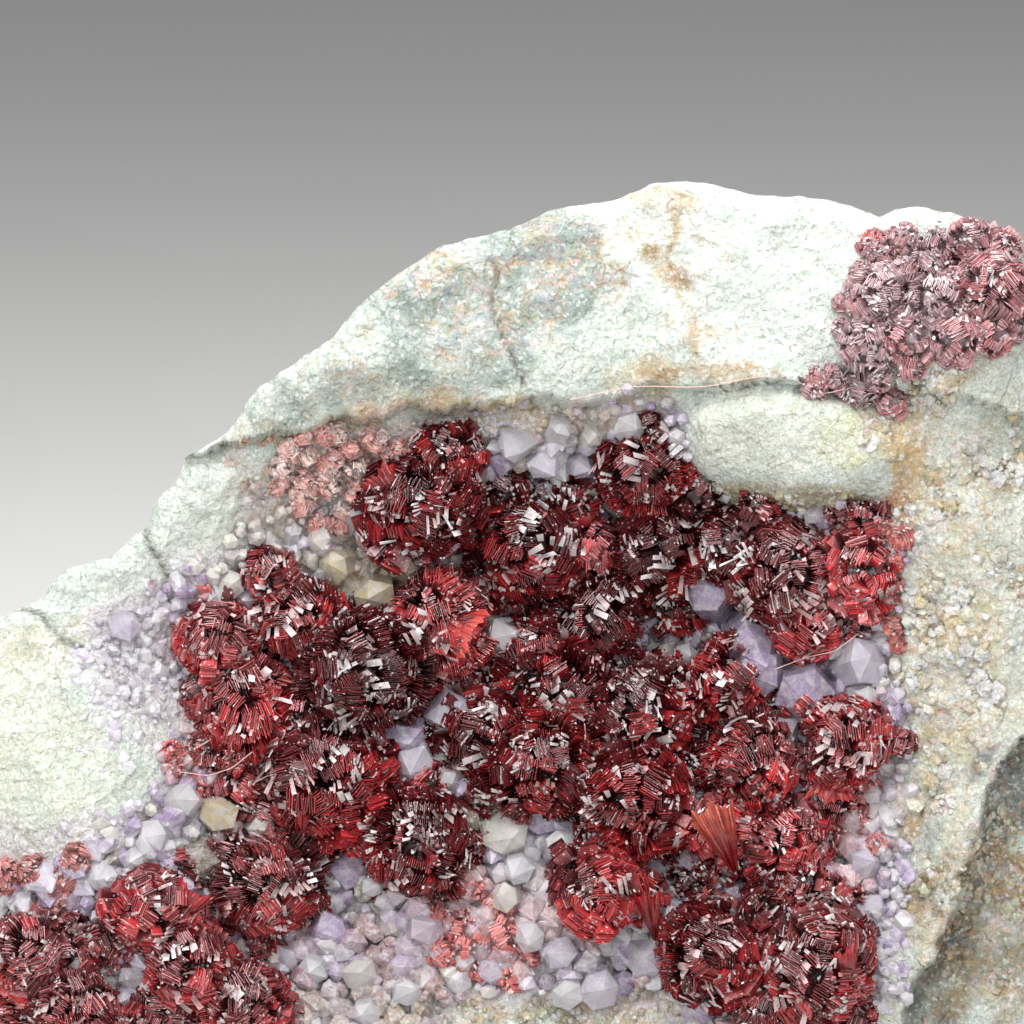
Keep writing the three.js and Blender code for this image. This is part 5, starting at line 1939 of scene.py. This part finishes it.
@dataclass
class Studio:
    """The pale floor, the soft lights and the camera."""

    distance: float = 500.0
    frame_width: float = 51.2
    sensor: float = 36.0
    world: float = 0.24
    sky: Colour = (0.9, 0.93, 1)
    floor_reach: float = 3.0
    floor_drop: float = 0.0001

    def floor(self) -> None:
        """Lay a plain pale floor, a little below the base so that the two don't fight."""
        reach, low = self.floor_reach, -self.floor_drop
        around = ((-reach, -reach), (reach, -reach), (reach, reach), (-reach, reach))
        corners = np.array([(x, y, low) for x, y in around])
        finish = Plain("floor", linear("c2c1be"), 0.7).make()
        Surfaces.piece("floor", corners, [np.array([[0, 1, 2, 3]])], finish)

    def lights(self) -> None:
        """Hang the lights and set the pale surroundings."""
        target = standing(np.array([0.0, 0.0, -4.0]))
        for spot in LIGHTS:
            lamp = bpy.data.lights.new(spot.name, "AREA")
            lamp.size = spot.size * METRES
            lamp.energy = spot.power
            holder = bpy.data.objects.new(spot.name, lamp)
            place = target + np.array([spot.x, spot.y, spot.z]) * METRES
            holder.matrix_world = self.aim(place, target)
            bpy.context.scene.collection.objects.link(holder)
        world = bpy.data.worlds.new("studio")
        world.use_nodes = True
        sky = world.node_tree.nodes["Background"].inputs
        sky["Color"].default_value = (*self.sky, 1)
        sky["Strength"].default_value = self.world
        bpy.context.scene.world = world
        bpy.context.scene.view_settings.view_transform = "Standard"

    def camera(self) -> None:
        """Look square at the leaning face, with the photograph's width of stone across the frame."""
        lens = bpy.data.cameras.new("camera")
        lens.sensor_width = self.sensor
        lens.lens = self.sensor * self.distance / self.frame_width
        holder = bpy.data.objects.new("camera", lens)
        place, target = standing(np.array([[0.0, -self.distance, 0.0], [0.0, 0.0, 0.0]]))
        holder.matrix_world = self.aim(place, target)
        bpy.context.scene.collection.objects.link(holder)
        bpy.context.scene.camera = holder

    @staticmethod
    def aim(place: Array, target: Array) -> Placement:
        """Return the matrix of something at place that looks at target."""
        look = Vector(target - place)
        return Placement.Translation(Vector(place)) @ look.to_track_quat("-Z", "Y").to_matrix().to_4x4()

    def build(self) -> None:
        """Make the whole studio."""
        self.floor()
        self.lights()
        self.camera()


def main() -> None:
    """Load the solids and build every piece around them."""
    logging.basicConfig(level=logging.INFO)
    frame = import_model()
    Studio().build()
    stone = VeinRock().make()
    Matrix().build(stone)
    milky = ClearQuartz("milky quartz", 0.45, smoke=0.75).make()
    QuartzCrust().build(milky, ClearQuartz().make())
    Grains().build(milky, stone)
    red, maker = RedBlades().make(), RosetteMaker()
    grown = [node for node in frame["nodes"] if node.startswith("rosettes_")]
    nodes = sorted(grown, key=lambda node: int(node.split("_")[1]))
    fillers = RED_CARPET.rosettes(ROSETTES, np.random.default_rng(SEED + 5))
    smooth = RedBlades("smooth petals", 0.2, 0.0).make()
    Wendwilsonite(maker, [*ROSETTES, *fillers]).build(red, smooth, nodes)
    fine = RedBlades("fine crystals", 0.34).make()
    for crust in (
        Crust("dark_crystal_crust", "dark_crystals", DARK_ROSETTES, (DARK_CARPET,), ("dark_crust",)),
        Crust("pink_crystal_crust", "pink_crystals", (), (PINK_CARPET,), ("pink_crust",)),
        Crust("rosy_crystal_crust", "pink_crystals", (), ROSY_CARPETS),
    ):
        crust.build(maker, fine)
    dust = Plain("dust fibres", linear("d8b8ae"), 0.8).make()
    dress(joined("dust_fibres", [fibre.mesh() for fibre in FIBRES], dust))


if __name__ == "__main__":
    main()
